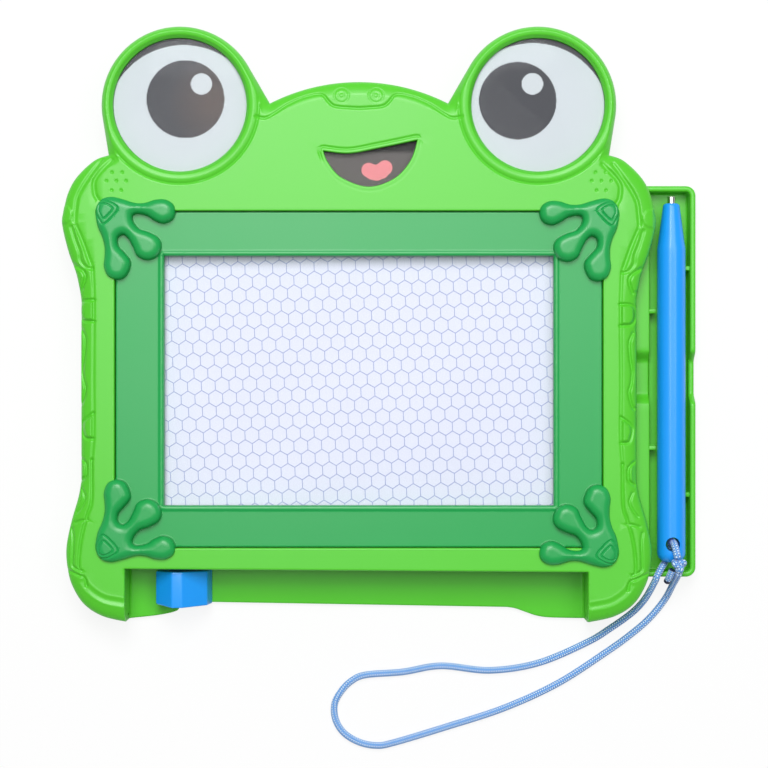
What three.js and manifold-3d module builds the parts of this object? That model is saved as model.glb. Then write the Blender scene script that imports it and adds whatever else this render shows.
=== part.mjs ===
// A child's magnetic drawing board: a frog-shaped case that lies face up, with
// a screen, an eraser bar that slides behind it, and a pen in a side tray.
// Millimetres. X runs to the right of the face, Y towards the frog's eyes, Z up
// out of the face. The origin is the middle of the underside.
import * as THREE from 'three';
import { mergeVertices } from 'three/addons/utils/BufferGeometryUtils.js';
import Module from 'manifold-3d';

const wasm = await Module();
wasm.setup();

// Driving sizes of the case
const shell_half_width = 91.2;
const shell_half_height = 91.5;
const tray_reach = 13.0;
const face_z = 16.5;
const face_thickness = 2.0;
const parting_z = 7.0;
const wall = 2.0;
const base_thickness = 2.0;
const base_chamfer = 1.0;
const rim_width = 4.2;
const rim_drop = 3.3;
const clearance = 0.3;
const overrun = 5.0;
const merge_tolerance = 1e-4;

// Eyes, forehead and mouth
const eye_radius = 24.2;
const eye_lip = 3.7;
const eye_seat = 2.0;
const card_thickness = 0.4;
const eye_window_thickness = 0.8;
const eye_window_dome = 0.8;
const eye_ledge_thickness = 1.4;
const forehead_radius = 60.2;
const mouth_half_width = 14.4;
const mouth_flange = 2.4;
const mouth_window_thickness = 0.4;

// Bezel, its pocket in the front shell, and the feet
const rim_to_bezel = 10.8;
const bezel_side_border = 14.7;
const bezel_top_border = 13.4;
const bezel_bottom_border = 12.6;
const bezel_recess = 1.3;
const bezel_thickness = 2.3;
const bezel_skirt = 1.5;
const pocket_wall = 1.5;
const pocket_floor = 1.7;
const foot_length = 25.1;
const foot_height = 2.6;
const foot_bevel = 0.9;
const foot_overhang_x = 6.1;
const foot_overhang_y = 4.7;

// Screen cell
const film_thickness = 0.3;
const core_thickness = 1.2;
const seal_width = 2.4;
const screen_margin = 4.0;

// Eraser ledge, knob, carrier and magnet
const lobe_width = 20.3;
const ledge_depth = 16.1;
const strip_width = 7.2;
const knob_width = 17.5;
const knob_length = 11.0;
const knob_height = 11.0;
const knob_shoulder = 6.0;
const knob_ridge = 3.2;
const knob_rest_gap = 8.05;
const slit_rise = 1.5;
const neck_width = 11.0;
const neck_thickness = 2.4;
const carrier_width = 11.4;
const shoe_half_width = 14.0;
const shoe_length = 5.0;
const magnet_width = 8.0;
const magnet_thickness = 2.5;
const magnet_gap = 0.5;
const guide_width = 1.5;
const guide_height = 3.0;
const carrier_wall_rise = 1.3;

// Case screws and their posts
const screw_radius = 1.3;
const screw_head_radius = 2.9;
const screw_head_height = 1.8;
const screw_head_recess = 1.2;
const screw_reach = 4.5;
const post_radius = 3.2;
const cover_post_radius = 4.6;

// Pen tray
const tray_below_ledge = 2.6;
const tray_wall = 1.8;
const tray_wall_height = 8.5;
const tray_corner = 3.0;
const tray_strip = 4.4;
const scoop_middle = -16.3;
const scoop_length = 17.0;
const scoop_depth = 2.5;
const peg_width = 1.4;
const peg_height = 2.4;
const cradle_width = 1.6;
const pen_side_gap = 1.2;
const pen_end_gap = 1.6;
const pen_foot_gap = 2.9;

// Pen
const pen_radius = 4.36;
const pen_length = 112.9;
const pen_lift = 3.2;
const pen_cone_length = 13.5;
const pen_nose_radius = 2.6;
const pen_tip_radius = 1.2;
const pen_tip_length = 2.2;
const pen_tip_depth = 6.0;
const pen_end_round = 3.0;
const pen_hole_radius = 2.2;
const pen_hole_inset = 5.7;

// Cord
const cord_diameter = 2.0;
const knot_radius = 1.9;

// How finely round stretches are divided: sides of a full circle, and steps of
// a smooth curve
const eye_sides = 40;
const pen_sides = 20;
const small_sides = 14;
const corner_steps = 4;
const spline_steps = 12;
const mouth_steps = 10;
const cord_steps = 79;
const tail_steps = 4;
const cord_sides = 8;
const least_lean_share = 0.6;

// Places that follow from the driving sizes
const frog_x = -tray_reach / 2;
const board_half_width = shell_half_width + tray_reach / 2;
const waist_share = 0.935;
const waist_half_width = waist_share * shell_half_width;
const eye_x_share = 0.602;
const eye_x = eye_x_share * shell_half_width;
const eye_y = shell_half_height - eye_radius;
const inner_face_z = face_z - face_thickness;
const ledge_half_width = shell_half_width - lobe_width;

// Outline of the right half of the frog, as shares of its half width and half
// height: where the forehead meets the eye, where the eye meets the shoulder,
// then the shoulder, the waist and the bottom lobe
const brow_notch_share = [0.3, 0.742];
const neck_notch_share = [0.843, 0.568];
const shoulder_shares = [
  [0.843, 0.568],
  [0.891, 0.55],
  [0.948, 0.497],
  [0.979, 0.443],
  [0.996, 0.375],
  [0.999, 0.33],
  [0.977, 0.24],
  [0.95, 0.165],
  [waist_share, 0.085],
];
const lobe_shares = [
  [waist_share, -0.525],
  [0.945, -0.58],
  [0.968, -0.66],
  [0.985, -0.745],
  [0.982, -0.815],
  [0.965, -0.878],
  [0.925, -0.94],
  [0.862, -0.98],
  [0.776, -1],
];

// Mouth opening, measured from its middle, as shares of its own half width
const mouth_place_share = [0.038, 0.526];
const mouth_top_shares = [
  [-1, 0.34],
  [-0.45, 0.29],
  [0.18, 0.4],
  [1, 0.57],
];
const mouth_bottom_shares = [
  [1, 0.57],
  [0.85, 0.13],
  [0.5, -0.25],
  [-0.05, -0.42],
  [-0.62, -0.22],
  [-0.9, 0.1],
  [-1, 0.34],
];

// Profile of the sloping rim: share of its width drawn in, share of its drop
const rim_shares = [
  [0, 1],
  [0.2, 0.55],
  [0.8, 0.18],
  [1, 0],
];
const bezel_top_share = 0.376;

// Bottom edge of the eraser ledge, as shares of the ledge's half width and the
// case's half height: high in the middle, curving down to the lobes at the ends
const ledge_edge_shares = [
  [1, -1],
  [0.84, -0.997],
  [0.79, -0.98],
  [0.72, -0.957],
  [0.66, -0.943],
];

// Places along the tray of the ribs that carry the pen and of the pegs on its
// walls that hold it in line, and the bend of the finger scoop's sides
const cradle_shares = [0.22, 0.78];
const right_peg_shares = [0.21, 0.79];
const left_peg_shares = [0.32, 0.67];
const scoop_bend_shares = [0.7, 0.9, 0.5];

// Toes and palm of a foot, measured from its outer corner, as shares of its
// length: place along X, place along Y, radius
const foot_toe_shares = [
  [0.857, 0.175, 0.143],
  [0.661, 0.599, 0.166],
  [0.289, 0.848, 0.158],
];
const foot_palm_share = [0.235, 0.235, 0.235];
const foot_root_share = [0.31, 0.31, 0.155];
const foot_neck_share = 0.065;
const foot_neck_root_share = 0.1;

// Screws, as shares of the half width and half height
const screw_shares = [
  [0.34, 0.56],
  [0.9, 0.33],
  [0.875, -0.86],
];

// A plain surface with only its places, made a solid
function solid(geometry) {
  const plain = geometry.clone();
  plain.deleteAttribute('normal');
  plain.deleteAttribute('uv');
  const merged = mergeVertices(plain, merge_tolerance);
  return new wasm.Manifold(
    new wasm.Mesh({
      numProp: 3,
      vertProperties: new Float32Array(merged.attributes.position.array),
      triVerts: new Uint32Array(merged.index.array),
    }),
  );
}

function geometryOf(body) {
  const mesh = body.getMesh();
  const geometry = new THREE.BufferGeometry();
  geometry.setAttribute('position', new THREE.BufferAttribute(mesh.vertProperties, 3));
  geometry.setIndex(new THREE.BufferAttribute(mesh.triVerts, 1));
  geometry.computeVertexNormals();
  return geometry;
}

// A shape in the plane, carried straight up from low to high. A path divides
// each of its arcs into twice its curve segments
function prism(shape, low, high, sides = small_sides) {
  const geometry = new THREE.ExtrudeGeometry(shape, {
    depth: high - low,
    bevelEnabled: false,
    curveSegments: sides / 2,
  });
  geometry.translate(0, 0, low);
  return solid(geometry);
}

function rectangle(left, bottom, right, top, corner = 0) {
  const shape = new THREE.Shape();
  if (corner === 0) {
    shape.moveTo(left, bottom);
    shape.lineTo(right, bottom);
    shape.lineTo(right, top);
    shape.lineTo(left, top);
    shape.closePath();
    return shape;
  }
  const quarter = Math.PI / 2;
  shape.absarc(right - corner, bottom + corner, corner, -quarter, 0);
  shape.absarc(right - corner, top - corner, corner, 0, quarter);
  shape.absarc(left + corner, top - corner, corner, quarter, 2 * quarter);
  shape.absarc(left + corner, bottom + corner, corner, 2 * quarter, 3 * quarter);
  shape.closePath();
  return shape;
}

function circle(x, y, radius) {
  const shape = new THREE.Shape();
  shape.absarc(x, y, radius, 0, 2 * Math.PI);
  return shape;
}

function box(left, bottom, low, right, top, high) {
  return prism(rectangle(left, bottom, right, top), low, high);
}

function disc(x, y, radius, low, high, sides = small_sides) {
  return prism(circle(x, y, radius), low, high, sides);
}

function union(bodies) {
  return bodies.reduce((whole, next) => whole.add(next));
}

// Rings of points at rising heights, joined by walls and closed at both ends
function loft(levels) {
  const count = levels[0].ring.length;
  const positions = [];
  const index = [];
  for (const { ring, z } of levels) {
    for (const point of ring) {
      positions.push(point.x, point.y, z);
    }
  }
  for (let level = 0; level + 1 < levels.length; level += 1) {
    for (let side = 0; side < count; side += 1) {
      const near = level * count + side;
      const next = level * count + ((side + 1) % count);
      index.push(near, next, next + count);
      index.push(near, next + count, near + count);
    }
  }
  for (const [a, b, c] of THREE.ShapeUtils.triangulateShape(levels[0].ring, [])) {
    index.push(c, b, a);
  }
  const top = (levels.length - 1) * count;
  for (const [a, b, c] of THREE.ShapeUtils.triangulateShape(levels.at(-1).ring, [])) {
    index.push(top + a, top + b, top + c);
  }
  const geometry = new THREE.BufferGeometry();
  geometry.setAttribute('position', new THREE.Float32BufferAttribute(positions, 3));
  geometry.setIndex(index);
  return solid(geometry);
}

// The same ring drawn in by a distance, each point along the middle of the
// two walls that meet there; a negative distance draws it out
function drawnIn(ring, distance) {
  return ring.map((point, i) => {
    const before = ring[(i + ring.length - 1) % ring.length];
    const after = ring[(i + 1) % ring.length];
    const arriving = point.clone().sub(before).normalize();
    const leaving = after.clone().sub(point).normalize();
    const along = arriving.clone().add(leaving).normalize();
    const inward = new THREE.Vector2(-along.y, along.x);
    const lean = Math.max(along.dot(arriving), least_lean_share);
    return point.clone().addScaledVector(inward, distance / lean);
  });
}

function at(share) {
  return new THREE.Vector2(share[0] * shell_half_width, share[1] * shell_half_height);
}

// Right half of the frog from the top of the forehead round to the bottom:
// the forehead's arc, a straight flank that touches the eye's circle, the eye,
// a second flank, and two smooth curves
function frogHalf() {
  const half = new THREE.Path();
  const brow = at(brow_notch_share);
  const neck = at(neck_notch_share);
  const rise = Math.sqrt(forehead_radius ** 2 - brow.x ** 2);
  const spread = Math.asin(brow.x / forehead_radius);
  const quarter = Math.PI / 2;
  half.absarc(0, brow.y - rise, forehead_radius, quarter, quarter - spread, true);
  const forehead = half.getPoints(spline_steps / 4);
  const eye = new THREE.Vector2(eye_x, eye_y);
  const touch = (from, side) => {
    const away = from.clone().sub(eye);
    const turn = Math.acos(Math.min(eye_radius / away.length(), 1));
    return away.angle() + side * turn;
  };
  const start = touch(brow, -1);
  const end = touch(neck, 1);
  const round = new THREE.Path();
  round.absarc(eye.x, eye.y, eye_radius, start, end, true);
  const shoulder = new THREE.SplineCurve(shoulder_shares.map(at));
  const lobe = new THREE.SplineCurve(lobe_shares.map(at));
  return [
    ...forehead,
    ...round.getPoints(eye_sides / 4),
    ...shoulder.getPoints(spline_steps),
    ...lobe.getPoints(spline_steps),
  ];
}

// Both halves, counter-clockwise
function frogRing() {
  const right = frogHalf();
  const left = right.slice(1).map((p) => new THREE.Vector2(-p.x, p.y));
  const ring = [...left, ...right.reverse()];
  return ring.map((p) => new THREE.Vector2(p.x + frog_x, p.y));
}

const ring = frogRing();
const part = new THREE.Group();
const colours = {
  case_green: 0x63d93c,
  bezel_green: 0x46ad62,
  pen_blue: 0x2f86ea,
  cord_blue: 0x8fc0ee,
  film: 0xf4f6fb,
  core_white: 0xe8ebf2,
  card_white: 0xdee7ec,
  card_grey: 0x6b6664,
  clear: 0xffffff,
  dark: 0x2a2a2c,
  metal: 0xb9bcc0,
};

function addPiece(name, body, colour, roughness = 0.4, metalness = 0) {
  const material = new THREE.MeshStandardMaterial({
    color: colours[colour],
    roughness,
    metalness,
  });
  const mesh = new THREE.Mesh(geometryOf(body), material);
  mesh.name = name;
  part.add(mesh);
}

// Bezel, window and ledge, in place
const bezel = {
  left: frog_x - waist_half_width + rim_to_bezel,
  right: frog_x + waist_half_width - rim_to_bezel,
  top: bezel_top_share * shell_half_height,
  bottom: -shell_half_height + ledge_depth + strip_width,
};
const view = {
  left: bezel.left + bezel_side_border,
  right: bezel.right - bezel_side_border,
  top: bezel.top - bezel_top_border,
  bottom: bezel.bottom + bezel_bottom_border,
};
const bezel_top_z = face_z - bezel_recess;
const bezel_low_z = bezel_top_z - bezel_thickness;
const pocket_floor_z = bezel_low_z - clearance;
const pocket_low_z = pocket_floor_z - pocket_floor;
const ledge_y = -shell_half_height + ledge_depth;
const shell_low_z = parting_z + clearance;

function grown(area, margin) {
  return rectangle(
    area.left - margin,
    area.bottom - margin,
    area.right + margin,
    area.top + margin,
  );
}

function screwPlaces() {
  return screw_shares.flatMap((share) => {
    const place = at(share);
    return [
      new THREE.Vector2(frog_x - place.x, place.y),
      new THREE.Vector2(frog_x + place.x, place.y),
    ];
  });
}
const screws = screwPlaces();
const screw_seat_z = screw_head_recess + screw_head_height + clearance;
const screw_top_z = shell_low_z + screw_reach;

// Eye pockets: a lip, a seat ledge below it, and the card and window on it
const eye_hole = eye_radius - eye_lip;
const eye_seat_z = face_z - rim_drop / 2 - eye_window_thickness - card_thickness
  - 2 * clearance;
const eye_low_z = eye_seat_z - eye_ledge_thickness;
const eyes = [-1, 1].map((side) => new THREE.Vector2(frog_x + side * eye_x, eye_y));

// Mouth outline: two smooth curves that meet at the corners, grown by a margin
function mouthShape(margin = 0) {
  const middle = at(mouth_place_share);
  const curve = (shares, side) => {
    const last = shares.length - 1;
    const places = shares.map(([x, y], i) => {
      const lift = i === 0 || i === last ? 0 : side * margin;
      return new THREE.Vector2(
        frog_x + middle.x + x * (mouth_half_width + margin),
        middle.y + y * mouth_half_width + lift,
      );
    });
    return new THREE.SplineCurve(places.reverse());
  };
  const lower = curve(mouth_bottom_shares, -1);
  const upper = curve(mouth_top_shares, 1);
  const points = [...lower.getPoints(mouth_steps), ...upper.getPoints(mouth_steps).slice(1, -1)];
  return new THREE.Shape(points);
}

function frontShell() {
  const rim = rim_shares.map(([inset, drop]) => ({
    ring: drawnIn(ring, rim_width * inset),
    z: face_z - rim_drop * drop,
  }));
  const outer = loft([{ ring, z: shell_low_z }, ...rim]);
  const cavity = loft([
    { ring: drawnIn(ring, wall), z: shell_low_z - overrun },
    { ring: drawnIn(ring, wall), z: inner_face_z - rim_drop },
    { ring: drawnIn(ring, wall + rim_width), z: inner_face_z },
  ]);
  const pocket_block = prism(
    grown(bezel, clearance + pocket_wall),
    pocket_low_z,
    inner_face_z + face_thickness / 2,
  );
  const ledge_wall = box(
    frog_x - ledge_half_width - wall,
    -shell_half_height - overrun,
    shell_low_z,
    frog_x + ledge_half_width + wall,
    ledge_y + wall,
    inner_face_z + face_thickness / 2,
  ).intersect(outer);
  const posts = screws.map((p) => disc(
    p.x,
    p.y,
    post_radius,
    shell_low_z,
    inner_face_z + face_thickness / 2,
  ));
  const eye_seats = eyes.map((p) => disc(
    p.x,
    p.y,
    eye_hole + eye_seat,
    eye_low_z,
    inner_face_z + face_thickness / 4,
    eye_sides,
  ));
  const filled = outer.subtract(cavity).add(union([pocket_block, ledge_wall, ...posts]));
  const solids = filled.add(union(eye_seats).intersect(outer));
  const cuts = [
    prism(grown(bezel, clearance), pocket_floor_z, face_z + overrun),
    prism(grown(view, bezel_skirt + clearance), pocket_low_z - overrun, face_z + overrun),
    box(
      frog_x - ledge_half_width,
      -shell_half_height - overrun,
      shell_low_z - overrun,
      frog_x + ledge_half_width,
      ledge_y,
      face_z + overrun,
    ),
    prism(mouthShape(), inner_face_z - overrun, face_z + overrun),
    ...eyes.map((p) => disc(p.x, p.y, eye_hole, eye_seat_z, face_z + overrun, eye_sides)),
    ...eyes.map((p) => disc(
      p.x,
      p.y,
      eye_hole - eye_seat,
      eye_low_z - overrun,
      face_z + overrun,
      eye_sides,
    )),
    ...screws.map((p) => disc(
      p.x,
      p.y,
      screw_radius + clearance,
      shell_low_z - overrun,
      screw_top_z + clearance,
      small_sides,
    )),
  ];
  return solids.subtract(union(cuts));
}
addPiece('front_shell', frontShell(), 'case_green', 0.35);

// What is cut from the ledge below its curved bottom edge
function ledgeCut() {
  const place = ([x, y]) => new THREE.Vector2(
    frog_x + x * ledge_half_width,
    y * shell_half_height,
  );
  const mirrored = ([x, y]) => place([-x, y]);
  const right = new THREE.SplineCurve(ledge_edge_shares.map(place));
  const left = new THREE.SplineCurve(ledge_edge_shares.map(mirrored).reverse());
  const points = [
    new THREE.Vector2(frog_x + ledge_half_width, -shell_half_height - overrun),
    ...right.getPoints(mouth_steps),
    ...left.getPoints(mouth_steps),
    new THREE.Vector2(frog_x - ledge_half_width, -shell_half_height - overrun),
  ];
  return prism(new THREE.Shape(points), -overrun, parting_z + overrun);
}

// Tray, strip and pen, in place
const tray_bottom = ledge_y - tray_below_ledge;
const tray_length = pen_length + 2 * tray_wall + pen_end_gap + pen_foot_gap;
const tray_top = tray_bottom + tray_length;
const tray_right = board_half_width;
const tray_inner_right = tray_right - tray_wall;
const waist_right = frog_x + waist_half_width;
const tray_inner_left = waist_right + tray_strip;
const pen_x = tray_inner_right - pen_radius - pen_side_gap;
const pen_z = base_thickness + pen_lift + pen_radius;
const pen_tip_y = tray_top - tray_wall - pen_end_gap;
const pen_end_y = pen_tip_y - pen_length;
const pen_hole_y = pen_end_y + pen_hole_inset;

function trayBody() {
  const tall = prism(
    rectangle(frog_x, tray_bottom, tray_right, tray_top, tray_corner),
    0,
    tray_wall_height,
    corner_steps,
  );
  const above_strip = box(
    frog_x - overrun,
    tray_bottom + tray_wall,
    parting_z,
    tray_inner_left,
    tray_top - tray_wall,
    tray_wall_height + overrun,
  );
  const round_case = loft([
    { ring: drawnIn(ring, -clearance), z: parting_z },
    { ring: drawnIn(ring, -clearance), z: tray_wall_height + overrun },
  ]);
  return tall.subtract(above_strip).subtract(round_case);
}

function trayFittings() {
  const fittings = [];
  for (const share of cradle_shares) {
    const y = tray_top - share * tray_length;
    fittings.push(box(
      tray_inner_left - clearance,
      y - cradle_width / 2,
      base_thickness / 2,
      tray_inner_right + clearance,
      y + cradle_width / 2,
      base_thickness + pen_lift - clearance,
    ));
  }
  for (const share of right_peg_shares) {
    const y = tray_top - share * tray_length;
    fittings.push(box(
      pen_x + pen_radius + clearance,
      y - peg_width / 2,
      parting_z - peg_height,
      tray_inner_right + clearance,
      y + peg_width / 2,
      parting_z,
    ));
  }
  for (const share of left_peg_shares) {
    const y = tray_top - share * tray_length;
    fittings.push(box(
      tray_inner_left - clearance,
      y - peg_width / 2,
      parting_z - peg_height,
      pen_x - pen_radius - clearance,
      y + peg_width / 2,
      parting_z,
    ));
  }
  return union(fittings);
}

// A dip for a finger across the strip and the right wall
function scoopCut() {
  const shape = new THREE.Shape();
  const reach = scoop_length / 2;
  const bottom = parting_z - scoop_depth;
  const top = tray_wall_height;
  const [upper, lower, flat] = scoop_bend_shares.map((share) => share * reach);
  shape.moveTo(-reach, top + overrun);
  shape.lineTo(-reach, top);
  shape.bezierCurveTo(-upper, top, -lower, bottom, -flat, bottom);
  shape.lineTo(flat, bottom);
  shape.bezierCurveTo(lower, bottom, upper, top, reach, top);
  shape.lineTo(reach, top + overrun);
  shape.closePath();
  const length = tray_right + overrun - waist_right;
  const geometry = new THREE.ExtrudeGeometry(shape, {
    depth: length,
    bevelEnabled: false,
    curveSegments: spline_steps / 3,
  });
  geometry.rotateX(Math.PI / 2);
  geometry.rotateZ(Math.PI / 2);
  geometry.translate(waist_right + clearance, scoop_middle, 0);
  return solid(geometry);
}

const shoe_y = ledge_y + wall + clearance;

function rearCover() {
  const outer = loft([
    { ring: drawnIn(ring, base_chamfer), z: 0 },
    { ring, z: base_chamfer },
    { ring, z: parting_z },
  ]);
  const cavity = loft([
    { ring: drawnIn(ring, wall), z: base_thickness },
    { ring: drawnIn(ring, wall), z: parting_z + overrun },
  ]);
  const tray_space = box(
    tray_inner_left,
    tray_bottom + tray_wall,
    base_thickness,
    tray_inner_right,
    tray_top - tray_wall,
    tray_wall_height + overrun,
  ).subtract(outer);
  const ledge_wall = box(
    frog_x - ledge_half_width - wall,
    -shell_half_height - overrun,
    base_thickness / 2,
    frog_x + ledge_half_width + wall,
    ledge_y + wall,
    parting_z,
  ).intersect(outer);
  const ledge_space = box(
    frog_x - ledge_half_width,
    -shell_half_height - overrun,
    base_thickness,
    frog_x + ledge_half_width,
    ledge_y,
    parting_z + overrun,
  );
  const slit = box(
    frog_x - ledge_half_width,
    ledge_y - overrun,
    base_thickness + slit_rise,
    frog_x + ledge_half_width,
    shoe_y,
    parting_z + overrun,
  );
  const posts = screws.map((p) => disc(
    p.x,
    p.y,
    cover_post_radius,
    base_thickness / 2,
    parting_z,
  ).intersect(outer));
  const guide = box(
    frog_x - ledge_half_width,
    view.top + clearance,
    base_thickness / 2,
    frog_x + ledge_half_width,
    view.top + clearance + guide_width,
    base_thickness + guide_height,
  );
  const holes = screws.flatMap((p) => [
    disc(p.x, p.y, screw_radius + clearance, -overrun, parting_z + overrun, small_sides),
    disc(p.x, p.y, screw_head_radius + clearance, -overrun, screw_seat_z, small_sides),
  ]);
  const case_body = outer.add(trayBody()).subtract(cavity).subtract(tray_space);
  const filled = case_body.add(union([ledge_wall, ...posts, guide]));
  const fitted = filled.add(trayFittings().subtract(outer));
  const cuts = union([ledge_space, slit, ledgeCut(), scoopCut().subtract(outer), ...holes]);
  return fitted.subtract(cuts);
}
addPiece('rear_cover', rearCover(), 'case_green', 0.4);

// Bezel: a flat frame with a skirt down to the screen and a foot on each corner
function foot(side_x, side_y) {
  const corner_x = side_x > 0 ? bezel.right + foot_overhang_x : bezel.left - foot_overhang_x;
  const corner_y = side_y > 0 ? bezel.top + foot_overhang_y : bezel.bottom - foot_overhang_y;
  const place = ([x, y]) => new THREE.Vector2(
    corner_x - side_x * x * foot_length,
    corner_y - side_y * y * foot_length,
  );
  const high = face_z + foot_height;
  const pad = (share, bevel) => {
    const p = place(share);
    return disc(p.x, p.y, share[2] * foot_length - bevel, bezel_low_z, high - foot_bevel + bevel);
  };
  const neck = (toe, bevel) => {
    const from = place(foot_root_share);
    const to = place(toe);
    const half = foot_neck_share * foot_length - bevel / 2;
    const root_half = foot_neck_root_share * foot_length - bevel / 2;
    const across = to.clone().sub(from).normalize().rotateAround(new THREE.Vector2(), Math.PI / 2);
    const shape = new THREE.Shape([
      from.clone().addScaledVector(across, -root_half),
      to.clone().addScaledVector(across, -half),
      to.clone().addScaledVector(across, half),
      from.clone().addScaledVector(across, root_half),
    ]);
    return prism(shape, bezel_low_z, high - foot_bevel + bevel);
  };
  const layer = (bevel) => [
    pad(foot_palm_share, bevel),
    pad(foot_root_share, bevel),
    ...foot_toe_shares.flatMap((toe) => [pad(toe, bevel), neck(toe, bevel)]),
  ];
  return union([...layer(0), ...layer(foot_bevel)]);
}

function bezelFrame() {
  const plate = prism(grown(bezel, 0), bezel_low_z, bezel_top_z);
  const skirt = prism(grown(view, bezel_skirt), pocket_low_z, bezel_top_z);
  const feet = union([foot(-1, 1), foot(1, 1), foot(-1, -1), foot(1, -1)]);
  const sunk = prism(grown(bezel, 0), bezel_low_z, face_z + foot_height + overrun);
  const over_case = box(
    -board_half_width,
    -shell_half_height,
    face_z + clearance,
    board_half_width,
    shell_half_height,
    face_z + foot_height + overrun,
  );
  const seated_feet = feet.intersect(sunk.add(over_case));
  const opening = prism(grown(view, 0), pocket_low_z - overrun, face_z + overrun);
  return plate.add(skirt).add(seated_feet).subtract(opening);
}
addPiece('bezel_frame', bezelFrame(), 'bezel_green', 0.35);

// Screen cell: two films with the honeycomb core and its seal between them
const film_top = pocket_low_z - clearance;
const core_top = film_top - film_thickness;
const core_low = core_top - core_thickness;
const back_low = core_low - film_thickness;
addPiece(
  'screen_front_film',
  prism(grown(view, screen_margin), core_top, film_top),
  'film',
  0.25,
);
addPiece(
  'screen_honeycomb_core',
  prism(grown(view, screen_margin - seal_width - clearance), core_low, core_top),
  'core_white',
  0.6,
);
addPiece(
  'screen_edge_seal',
  prism(grown(view, screen_margin), core_low, core_top).subtract(
    prism(grown(view, screen_margin - seal_width), core_low - overrun, core_top + overrun),
  ),
  'card_white',
  0.6,
);
addPiece(
  'screen_back_film',
  prism(grown(view, screen_margin), back_low, core_low),
  'film',
  0.4,
);

// Eye cards and the clear windows over them
function eyeWindow(place) {
  const radius = eye_hole - clearance;
  const low = eye_seat_z + card_thickness + 2 * clearance;
  const edge = low + eye_window_thickness;
  const profile = [new THREE.Vector2(0, low), new THREE.Vector2(radius, low)];
  const rings = 3;
  for (let k = 0; k < rings; k += 1) {
    const out = 1 - k / rings;
    profile.push(new THREE.Vector2(radius * out, edge + eye_window_dome * (1 - out * out)));
  }
  profile.push(new THREE.Vector2(0, edge + eye_window_dome));
  const geometry = new THREE.LatheGeometry(profile, eye_sides);
  geometry.rotateX(Math.PI / 2);
  geometry.translate(place.x, place.y, 0);
  return solid(geometry);
}
['left', 'right'].forEach((side, i) => {
  const card = disc(
    eyes[i].x,
    eyes[i].y,
    eye_hole - clearance,
    eye_seat_z + clearance,
    eye_seat_z + clearance + card_thickness,
    eye_sides,
  );
  addPiece(`eye_card_${side}`, card, 'card_white', 0.5);
  addPiece(`eye_window_${side}`, eyeWindow(eyes[i]), 'clear', 0.05);
});

// Mouth: a clear window under the face, and the printed card below it
const mouth_window_z = inner_face_z - clearance;
const mouth_card_z = mouth_window_z - mouth_window_thickness;
addPiece(
  'mouth_window',
  prism(mouthShape(mouth_flange), mouth_card_z, mouth_window_z),
  'clear',
  0.05,
);
addPiece(
  'mouth_card',
  prism(mouthShape(mouth_flange), mouth_card_z - card_thickness, mouth_card_z),
  'card_grey',
  0.5,
);

// Eraser: knob on the ledge, a neck through the slit, and the carrier that
// holds the magnet strip under the back film
const knob_x = frog_x - ledge_half_width + knob_rest_gap + knob_width / 2;
const knob_low = base_thickness + clearance;
function knob() {
  const shape = new THREE.Shape();
  const half = knob_width / 2;
  const ridge = knob_ridge / 2;
  shape.moveTo(-half, knob_low);
  shape.lineTo(half, knob_low);
  shape.lineTo(half, knob_low + knob_shoulder);
  shape.lineTo(ridge, knob_low + knob_height);
  shape.lineTo(-ridge, knob_low + knob_height);
  shape.lineTo(-half, knob_low + knob_shoulder);
  shape.closePath();
  const geometry = new THREE.ExtrudeGeometry(shape, {
    depth: knob_length,
    bevelEnabled: false,
  });
  geometry.rotateX(Math.PI / 2);
  geometry.translate(knob_x, ledge_y - clearance, 0);
  return solid(geometry);
}
addPiece('eraser_knob', knob(), 'pen_blue', 0.35);

const magnet_top = back_low - magnet_gap;
const magnet_low = magnet_top - magnet_thickness;
const neck_low = base_thickness + slit_rise + clearance;
function carrier() {
  const half = carrier_width / 2;
  const seat = magnet_low - clearance;
  const shoe_top = neck_low + neck_thickness;
  const bar = box(
    knob_x - half,
    shoe_y,
    base_thickness + clearance,
    knob_x + half,
    view.top,
    magnet_low + carrier_wall_rise,
  );
  const shoe = box(
    knob_x - shoe_half_width,
    shoe_y,
    base_thickness + clearance,
    knob_x + shoe_half_width,
    shoe_y + shoe_length,
    shoe_top,
  );
  const neck = box(
    knob_x - neck_width / 2,
    ledge_y,
    neck_low,
    knob_x + neck_width / 2,
    shoe_y + shoe_length,
    shoe_top,
  );
  const channel = box(
    knob_x - magnet_width / 2 - clearance,
    view.bottom - clearance,
    seat,
    knob_x + magnet_width / 2 + clearance,
    view.top + overrun,
    magnet_top + overrun,
  );
  return bar.subtract(channel).add(shoe).add(neck);
}
addPiece('eraser_carrier', carrier(), 'film', 0.5);
addPiece(
  'eraser_magnet',
  box(
    knob_x - magnet_width / 2,
    view.bottom,
    magnet_low,
    knob_x + magnet_width / 2,
    view.top,
    magnet_top,
  ),
  'dark',
  0.7,
);

// Case screws, put in from the rear
screws.forEach((p, i) => {
  const head = disc(
    p.x,
    p.y,
    screw_head_radius,
    screw_head_recess,
    screw_head_recess + screw_head_height,
    small_sides,
  );
  const shank = disc(p.x, p.y, screw_radius, screw_head_recess, screw_top_z, small_sides);
  addPiece(`rear_screw_${i + 1}`, head.add(shank), 'metal', 0.3, 1);
});

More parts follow.
